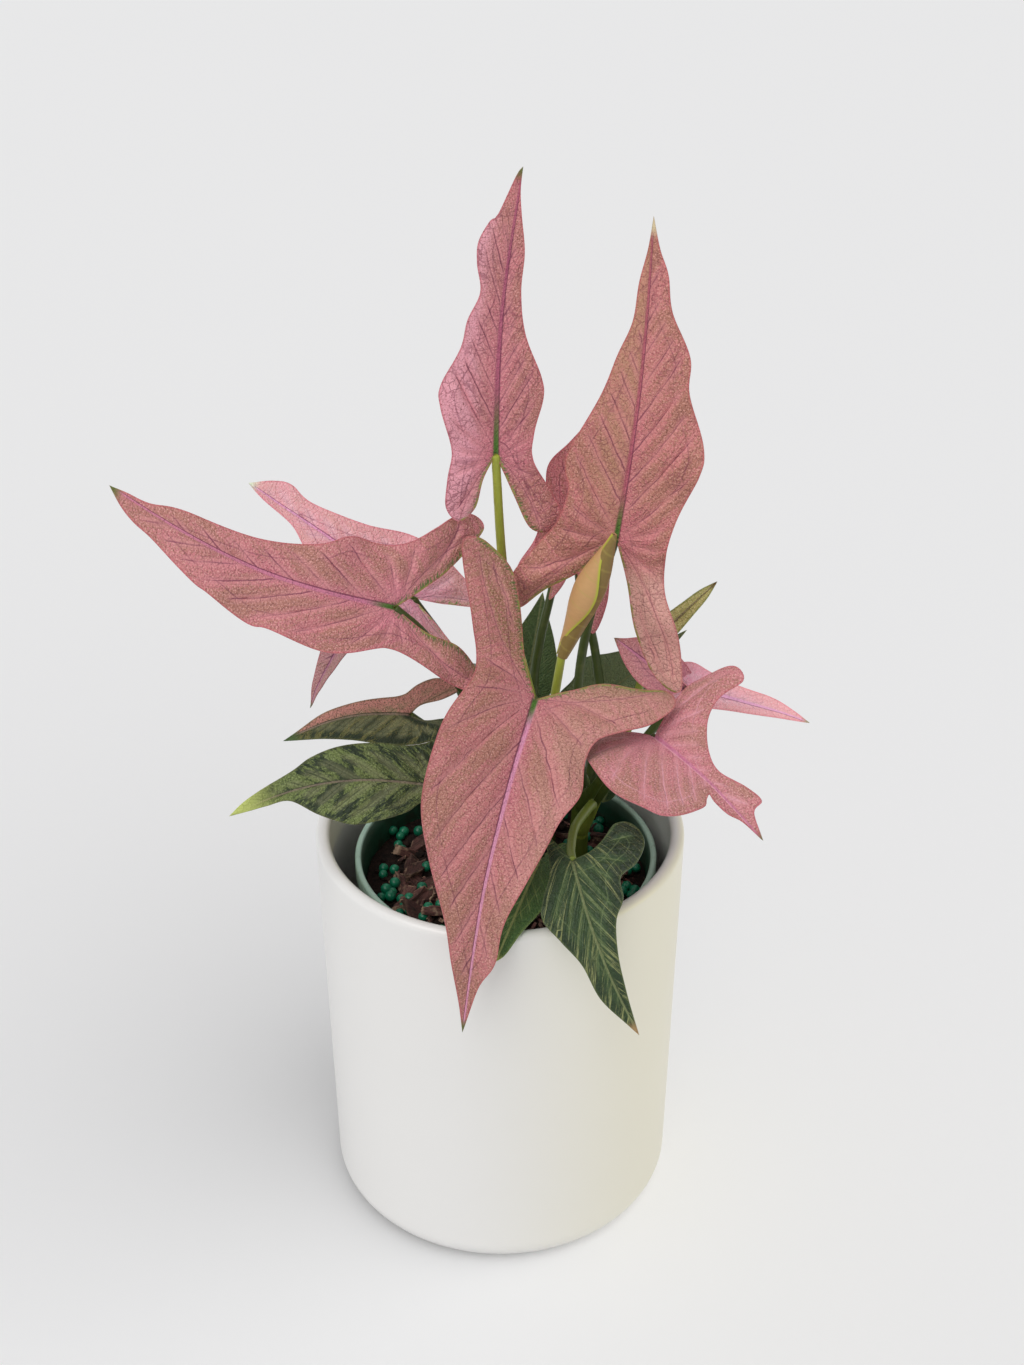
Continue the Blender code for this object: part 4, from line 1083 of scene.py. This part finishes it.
def makeFurledLeaf():
    base = np.array(furled["base"], float)
    along = np.array(furled["tip"], float) - base
    side = unit(np.cross(along, (0, -1, 0)))
    front = unit(np.cross(side, along))
    stations, turns = furled["stations"], furled["turns"]
    heights = np.linspace(0, 1, stations)
    radii = np.interp(heights, np.linspace(0, 1, len(furled["radii"])), furled["radii"])
    for _ in range(6):
        radii[1:-1] = (radii[:-2] + radii[1:-1] * 2 + radii[2:]) / 4
    points, marks = [], []
    for height, radius in zip(heights, radii):
        lap = 1.0 + furled["overlap"] * math.sin(math.pi * height)
        for k in range(turns + 1):
            turn = k / turns
            angle = math.radians(furled["start"] + furled["twist"] * height) + 2 * math.pi * lap * turn
            ring = radius * (1.0 - furled["taper"] * (1 - turn)) + 0.25 * math.sin(9 * height + 3 * turn)
            spot = max(0.5, ring) * (math.cos(angle) * front + math.sin(angle) * side)
            points.append(base + along * height + spot)
            marks.append((turn, height, min(turn, 1 - turn) * 2 * math.pi * radius))
    points, marks = np.array(points), np.array(marks)
    triangles = []
    for i in range(stations - 1):
        for k in range(turns):
            a = i * (turns + 1) + k
            b = a + turns + 1
            triangles += [(a, a + 1, b), (a + 1, b + 1, b)]
    triangles = np.array(triangles)
    vertex = cornerNormals(points, triangles)
    if (vertex * (points - base - np.outer(marks[:, 1], along))).sum() <= 0:
        vertex = -vertex
    thick = 0.22 + 0.2 * ease(0, 1.5, marks[:, 2])
    count = len(points)
    half = vertex * (thick / 2)[:, None]
    shell = np.vstack([points + half, points - half])
    made = makeMesh("furled_leaf_roll", shell, sheetFaces(triangles, count), [makeFurledMaterial()], 75)
    keepVectors(made, "rollMap", np.tile(marks, (2, 1)))
    keepVectors(made, "rollSide", np.repeat(((0, 0, 0), (1, 1, 1)), count, axis=0))
    dress(made, "leaf_furled", "furled_leaf")
    print("furled leaf", len(made.data.polygons), "faces")


# The cover pot and the nursery pot

cachepot = {
    "radius": 60.0, "baseRadius": 58.0, "height": 141.5, "wall": 4.5, "floor": 7.0,
    "lipRound": 2.25, "floorRound": 5.0, "footRound": 9.0, "wobble": 0.12, "sides": 192,
    "glaze": (233, 232, 230), "pinholes": (180, 176, 168),
}
growPot = {
    "rimRadius": 49.5, "topRadius": 48.8, "baseRadius": 39.0, "top": 130.5, "wall": 1.3,
    "rimDrop": 6.0, "rimRound": 0.75, "offset": 1.8, "foot": 7.3, "sides": 160,
    "drainHoles": 6, "drainRadius": 4.0, "drainCircle": 24.0,
    "wallPaint": (36, 78, 58), "rimPaint": (170, 200, 184), "dust": (88, 104, 84),
    "grime": (40, 34, 26),
}


def makeCeramic():
    made, tree, shader = newMaterial("ceramicGlaze", 0.34, 0.5)
    shader.inputs["Coat Weight"].default_value = 0.15
    shader.inputs["Coat Roughness"].default_value = 0.25
    where = ownPlace(tree)
    cloud = cloudy(where, 22.0, 4.0, 0.6)
    glaze = colour(*cachepot["glaze"])
    ground = mixed(cloud, glaze, tuple(c * 0.975 for c in glaze))
    pin = eased(0.73, 0.8, cloudy(where, 900.0))
    ground = cover(ground, times(pin, 0.06), cachepot["pinholes"])
    feed(shader.inputs["Roughness"], spread(cloud, 0.3, 0.42))
    first = coat(shader, ground, cloudy(where, 60.0, 3.0), 0.25, 0.25)
    addBump(shader, cloudy(where, 1200.0), 0.02, 0.4, first)
    return made


def makeCachepot():
    p = cachepot
    lip, inner, innerBase = p["lipRound"], p["radius"] - p["wall"], p["baseRadius"] - p["wall"]
    curve = p["floorRound"]
    profile = [(0, p["floor"])] + [(r, p["floor"]) for r in np.linspace(8, innerBase - curve - 0.5, 8)]
    profile += arc((innerBase - curve, p["floor"] + curve), curve, -90, 0, 8)
    low, high = p["floor"] + curve + 1, p["height"] - lip - 1
    for z in np.linspace(low, high, 34):
        share = (z - low) / (high - low)
        profile.append((innerBase + (inner - innerBase) * share, z))
    profile += arc((inner + lip, p["height"] - lip), lip, 180, 0, 18)
    for z in np.linspace(p["height"] - lip - 1, p["footRound"] + 1, 48):
        share = (z - p["footRound"]) / (p["height"] - lip - p["footRound"])
        profile.append((p["baseRadius"] + (p["radius"] - p["baseRadius"]) * share, z))
    profile += arc((p["baseRadius"] - p["footRound"], p["footRound"]), p["footRound"], 0, -90, 14)
    profile += [(r, 0) for r in np.linspace(p["baseRadius"] - p["footRound"] - 3, 6, 7)] + [(0, 0)]
    verts, faces = lathe(profile, p["sides"])
    # a thrown pot is never quite round: a tenth of a millimetre, well inside the CAD's box
    wobble = roughness(verts, 55, 3) * p["wobble"] * ease(2, 20, verts[:, 2])
    flat = verts[:, :2] / (np.linalg.norm(verts[:, :2], axis=1)[:, None] + 1e-9)
    verts[:, :2] -= flat * np.abs(wobble)[:, None]
    made = makeMesh("cachepot_glazed", verts, faces, [makeCeramic()], 50)
    dress(made, "ceramic", "cachepot")
    return made


def makePlastic():
    made, tree, shader = newMaterial("nurseryPlastic", 0.42, 0.45)
    where = ownPlace(tree)
    height = addNode(tree, "ShaderNodeSeparateXYZ", {0: where}).outputs[2]
    dust = cloudy(where, 160.0, 4.0, 0.7)
    grime = times(eased(0.131, 0.118, height), eased(0.45, 0.6, dust))
    # painted highlight: the rim's top and outer edge are painted pale, where the light falls on them
    ground = cover(colour(*growPot["wallPaint"]), namedVector(tree, "rimHighlightMap")[1], growPot["rimPaint"])
    ground = cover(ground, times(eased(0.5, 0.75, dust), 0.4), growPot["dust"])
    ground = cover(ground, times(grime, 0.7), growPot["grime"])
    feed(shader.inputs["Roughness"], spread(dust, 0.36, 0.6))
    coat(shader, ground, cloudy(where, 700.0, 3.0), 0.04, 0.5)
    return made


def growPotRadius(z):
    p = growPot
    share = (z - cachepot["floor"]) / (p["top"] - cachepot["floor"])
    return p["baseRadius"] + (p["topRadius"] - p["baseRadius"]) * share


def makeGrowPot():
    p = growPot
    floor = p["foot"] + p["wall"]
    underRim = p["top"] - p["rimDrop"]
    inner, curve = p["topRadius"] - p["wall"], p["rimRound"]
    profile = [(0, floor)] + [(r, floor) for r in np.linspace(6, growPotRadius(floor) - p["wall"] - 1, 9)]
    for z in np.linspace(floor + 0.6, p["top"] - 1.2, 30):
        profile.append((growPotRadius(z) - p["wall"], z))
    for x, start in ((inner + curve, 180), (p["rimRadius"] - curve, 90)):
        profile += arc((x, p["top"] - curve), curve, start, start - 90, 5)
    profile += arc((p["rimRadius"] - 0.5, underRim + 0.5), 0.5, 0, -90, 3)
    profile.append((growPotRadius(underRim) + 0.4, underRim))
    for z in np.linspace(underRim - 0.6, p["foot"] + 1.2, 30):
        profile.append((growPotRadius(z), z))
    profile += arc((growPotRadius(p["foot"]) - 1, p["foot"] + 1), 1, 0, -90, 4)
    profile += [(r, p["foot"]) for r in np.linspace(growPotRadius(p["foot"]) - 3, 6, 8)] + [(0, p["foot"])]
    verts, faces = lathe(profile, p["sides"], (p["offset"], 0))
    made = makeMesh("grow_pot_moulded", verts, faces, [makePlastic()], 40)
    group = bpy.data.collections.new("drills")
    bpy.context.scene.collection.children.link(group)
    drills = []
    for x, y in around(p["drainHoles"]):
        x, y = p["offset"] + p["drainCircle"] * x, p["drainCircle"] * y
        shape = tube([(x, y, p["foot"] - 2), (x, y, floor + 2)], [p["drainRadius"]] * 2, 32)
        drill = makeMesh("drill", *shape, [])
        bpy.context.scene.collection.objects.unlink(drill)
        group.objects.link(drill)
        drills.append(drill)
    cut = made.modifiers.new("drain", "BOOLEAN")
    cut.operand_type = "COLLECTION"
    cut.collection = group
    cut.solver = "EXACT"
    bakeModifiers(made)
    for drill in drills:
        bpy.data.objects.remove(drill)
    bpy.data.collections.remove(group)
    made.data.set_sharp_from_angle(angle=math.radians(40))
    places = np.array([v.co for v in made.data.vertices]) / mm
    out = np.hypot(places[:, 0] - p["offset"], places[:, 1])
    # where the painted rim highlight goes: the rim's top and the outer side of its flange
    rimHighlit = ease(p["top"] - 1.6, p["top"] - 0.6, places[:, 2]) * ease(inner - 0.6, inner + 0.1, out)
    rimHighlit = np.maximum(rimHighlit, (out > p["topRadius"] + 0.6) * 1.0)
    keepVectors(made, "rimHighlightMap", np.column_stack([rimHighlit, rimHighlit, rimHighlit]))
    dress(made, "nursery_plastic", "grow_pot")
    print("pots made")


# Potting mix: bed, bark chips, crumbs, prills and perlite

mix = {
    "top": 120.0, "bottom": 9.2, "offset": 1.8, "reach": 41.0, "seed": 11,
    "rings": 46, "sides": 150, "depths": 8,      # the bed's points
    "chips": 105, "splinters": 150, "crumbs": 280, "prills": 60, "perlite": 7, "prillRadius": 1.75,
    "chipSizes": ((6, 14), (3.2, 6.5), (1.8, 3.6)), "splinterSizes": ((2.5, 6), (0.8, 1.8), (0.6, 1.3)),
    "bumps": ((3, 9, 1.2), (9, 3.2, 0.6)),       # the bed's unevenness: seed, width and height
    "sink": 1.3,                                 # how much lower it lies by the pot's wall
    "topGap": 1.75, "wallGap": 1.8,              # how far in from the pot's outer side it ends
    "groupSpread": 2.1,                          # how far prills lie from the middle of their group
    "bedPaint": (24, 17, 15), "bedPale": (50, 35, 29), "fibre": (100, 76, 58),
    "barkPaint": (124, 84, 76), "barkDull": (56, 34, 32), "barkDark": (40, 26, 24),
    "barkPale": (188, 158, 132),
    "prillPaint": (22, 140, 98), "prillDark": (10, 84, 66), "prillDirt": (48, 52, 38),
    "perlitePaint": (226, 214, 204), "perliteDull": (176, 158, 146),
}
# where the photo shows prills lying together, and how many
prillGroups = (
    (-35, 24, 3), (-37, 1, 2), (-37, -11, 4), (-31, -16, 3), (-31, -21, 2), (-21, -19, 2), (33, 30, 2),
    (28, 12, 3), (43, 3, 3), (42, -9, 4), (28, 26, 2),
)


def makeSoilMaterials():
    bed, tree, shader = newMaterial("pottingMix", 0.9, 0.2)
    where = ownPlace(tree)
    clump = cloudy(where, 420.0, 5.0, 0.7)
    fibre = eased(0.62, 0.75, cloudy(where, 1300.0, 4.0, 0.7))
    ground = cover(colour(*mix["bedPaint"]), eased(0.35, 0.7, clump), mix["bedPale"])
    coat(shader, cover(ground, times(fibre, 0.4), mix["fibre"]), clump, 1.2, 0.9)

    bark, tree, shader = newMaterial("barkChip", 0.78, 0.3)
    tone, end = namedVector(tree, "chipTone")[1:3]
    grain = cloudy(stretched(namedVector(tree, "chipMap")[0], (0.12, 0.5, 2.2)), 1.6, 4.0, 0.65)
    ground = cover(colour(*mix["barkDull"]), tone, mix["barkPaint"])
    ground = cover(ground, eased(0.35, 0.7, grain), mix["barkDark"])
    worn = eased(0.55, 0.7, cloudy(ownPlace(tree), 340.0, 3.0))
    pale = times(calc("MAXIMUM", worn, eased(0.8, 1.0, end)), times(tone, 0.75))
    coat(shader, cover(ground, pale, mix["barkPale"]), grain, 0.5, 0.9)

    prill, tree, shader = newMaterial("prillCoat", 0.32, 0.5)
    where = ownPlace(tree)
    dirt = eased(0.6, 0.72, cloudy(where, 900.0, 3.0))
    ground = cover(colour(*mix["prillPaint"]), cloudy(where, 300.0), mix["prillDark"])
    coat(shader, cover(ground, times(dirt, 0.6), mix["prillDirt"]), cloudy(where, 1500.0), 0.05, 0.5)

    white, tree, shader = newMaterial("perliteGrain", 0.85, 0.3)
    where = ownPlace(tree)
    ground = cover(colour(*mix["perlitePaint"]), cloudy(where, 900.0, 4.0), mix["perliteDull"])
    coat(shader, ground, cloudy(where, 1600.0, 3.0), 0.2, 0.8)
    return bed, bark, prill, white


def soilHeight(x, y):
    bumps = sum(noise.noise(Vector((x, y, seed)) / width) * height for seed, width, height in mix["bumps"])
    far = math.hypot(x - mix["offset"], y)
    return mix["top"] + bumps - mix["sink"] * ease(34, 45, far)


def clearOfStems(x, y, margin):
    return all(math.hypot(x - s["foot"][0], y - s["foot"][1]) > s["radius"] + margin for s in stems.values())


def scatter(count, reach, margin, spacing, draw):
    spots, tries = [], 0
    while len(spots) < count and tries < count * 60:
        tries += 1
        angle, far = draw.uniform(0, 2 * math.pi), reach * math.sqrt(draw.random())
        x, y = mix["offset"] + far * math.cos(angle), far * math.sin(angle)
        if clearOfStems(x, y, margin) and all(math.dist((x, y), s) > spacing for s in spots):
            spots.append((x, y))
    return spots


def lumps(name, spots, shapeOf, paint, draw):
    # one mesh of many small bodies, each shaped by shapeOf
    bodies, marks, tones = [], [], []
    for x, y in spots:
        part, faces, mark, ends = shapeOf(x, y, draw)
        bodies.append((part, faces))
        marks += list(mark)
        tone = draw.random() ** 0.6
        tones += [(tone, end, 0) for end in ends]
    made = makeMesh(name, *gathered(bodies), [paint], 30)
    keepVectors(made, "chipMap", marks)
    keepVectors(made, "chipTone", tones)
    return made


def bodyOf(shell):
    # points and faces of a bmesh, which is freed
    verts = np.array([v.co for v in shell.verts])
    faces = [[v.index for v in f.verts] for f in shell.faces]
    shell.free()
    return verts, faces


def roundBody(level, radius):
    shell = bmesh.new()
    bmesh.ops.create_icosphere(shell, subdivisions=level, radius=radius)
    return bodyOf(shell)


def chipShape(x, y, draw, sizes=mix["chipSizes"]):
    # a broken flake: a block with torn ends and split sides
    size = [draw.uniform(*span) for span in sizes]
    shell = bmesh.new()
    bmesh.ops.create_cube(shell, size=1)
    bmesh.ops.subdivide_edges(shell, edges=shell.edges, cuts=4, use_grid_fill=True)
    local, faces = bodyOf(shell)
    local = local * 2
    body = local * np.array(size) / 2
    body[:, 1:2] *= 1 - 0.45 * np.abs(local[:, 0:1]) ** 2 * draw.uniform(0.1, 1)
    body[:, 0] += local[:, 1] * size[1] * draw.uniform(-0.5, 0.5)
    seed = draw.uniform(0, 90)
    reach = size[1] / 6
    body[:, 2] += roughness(body * (0.3, 1, 1), 2.2, seed) * 0.8 * reach
    body[:, 1] += roughness(body * (1, 0.5, 2), 2.8, seed + 9) * 0.9 * reach
    body[:, 0] += roughness(body * (0.5, 3, 3), 1.8, seed + 17) * 1.5 * reach
    turn = Matrix.Rotation(draw.uniform(0, math.pi), 3, "Z")
    for tilt, axis in ((0.6, "Y"), (0.8, "X")):
        turn = turn @ Matrix.Rotation(draw.uniform(-tilt, tilt), 3, axis)
    placed = body @ np.array(turn).T + (x, y, soilHeight(x, y) + draw.uniform(-0.2, 1.6))
    return placed, faces, body + (seed, 0, 0), np.abs(local[:, 0])


def splinterShape(x, y, draw):
    return chipShape(x, y, draw, mix["splinterSizes"])


def crumbShape(x, y, draw):
    radius = draw.uniform(0.7, 2.0)
    verts, faces = roundBody(2, radius)
    verts = verts * (1, draw.uniform(0.6, 1), draw.uniform(0.5, 0.9))
    verts *= 1 + 0.35 * roughness(verts, radius * 0.8, draw.uniform(0, 90))[:, None]
    return verts + (x, y, soilHeight(x, y) + radius * 0.2), faces, verts, np.zeros(len(verts))


def prillShape(x, y, draw):
    radius = mix["prillRadius"] * draw.uniform(0.85, 1.08)
    verts, faces = roundBody(3, radius)
    placed = verts + (x, y, soilHeight(x, y) + radius * draw.uniform(0.7, 1.3))
    return placed, faces, verts, np.zeros(len(verts))


def makeBed(paint):
    # rings across the top, then down the inside of the pot
    floor, rings, sides = mix["bottom"], mix["rings"], mix["sides"]
    edge = growPotRadius(mix["top"]) - mix["topGap"]
    circles = [(edge * i / rings, None) for i in range(1, rings + 1)]
    for z in np.linspace(mix["top"] - 6, floor, mix["depths"]):
        circles.append((growPotRadius(z) - mix["wallGap"], z))
    verts = [(mix["offset"], 0, soilHeight(mix["offset"], 0))]
    for far, z in circles:
        for x, y in [(mix["offset"] + far * x, far * y) for x, y in around(sides)]:
            verts.append((x, y, soilHeight(x, y) if z is None else z))
    verts.append((mix["offset"], 0, floor))
    bed = makeMesh("soil_bed", verts, turnedFaces(len(circles), sides), [paint], 60)
    dress(bed, "soil", "soil")


def makeSoil():
    bed, bark, prill, white = makeSoilMaterials()
    makeBed(bed)
    draw = random.Random(mix["seed"])
    reach, away = mix["reach"], mix["groupSpread"]
    grouped = []
    for x, y, count in prillGroups:
        for k in range(count):
            turn = 2 * math.pi * k / count + draw.random()
            grouped.append((x + away * math.cos(turn), y + away * math.sin(turn)))
    for name, spots, shapeOf, paint in (
            ("bark_chips", scatter(mix["chips"], reach - 4, 4, 3.0, draw), chipShape, bark),
            ("bark_splinters", scatter(mix["splinters"], reach, 1.5, 1.5, draw), splinterShape, bark),
            ("soil_crumbs", scatter(mix["crumbs"], reach + 2, 1, 1.2, draw), crumbShape, bed),
            ("fertiliser_prills", grouped + scatter(mix["prills"], reach, 2, 4.0, draw), prillShape, prill),
            ("perlite_grains", scatter(mix["perlite"], reach - 4, 3, 6, draw), crumbShape, white)):
        dress(lumps(name, spots, shapeOf, paint, draw), "soil", "soil")
    print("potting mix made")


makeCamera()
makeStage()
addWarmPanel(makeCachepot())
makeGrowPot()
makeSoil()
makeShoots()
makeLeaves()
makeFurledLeaf()
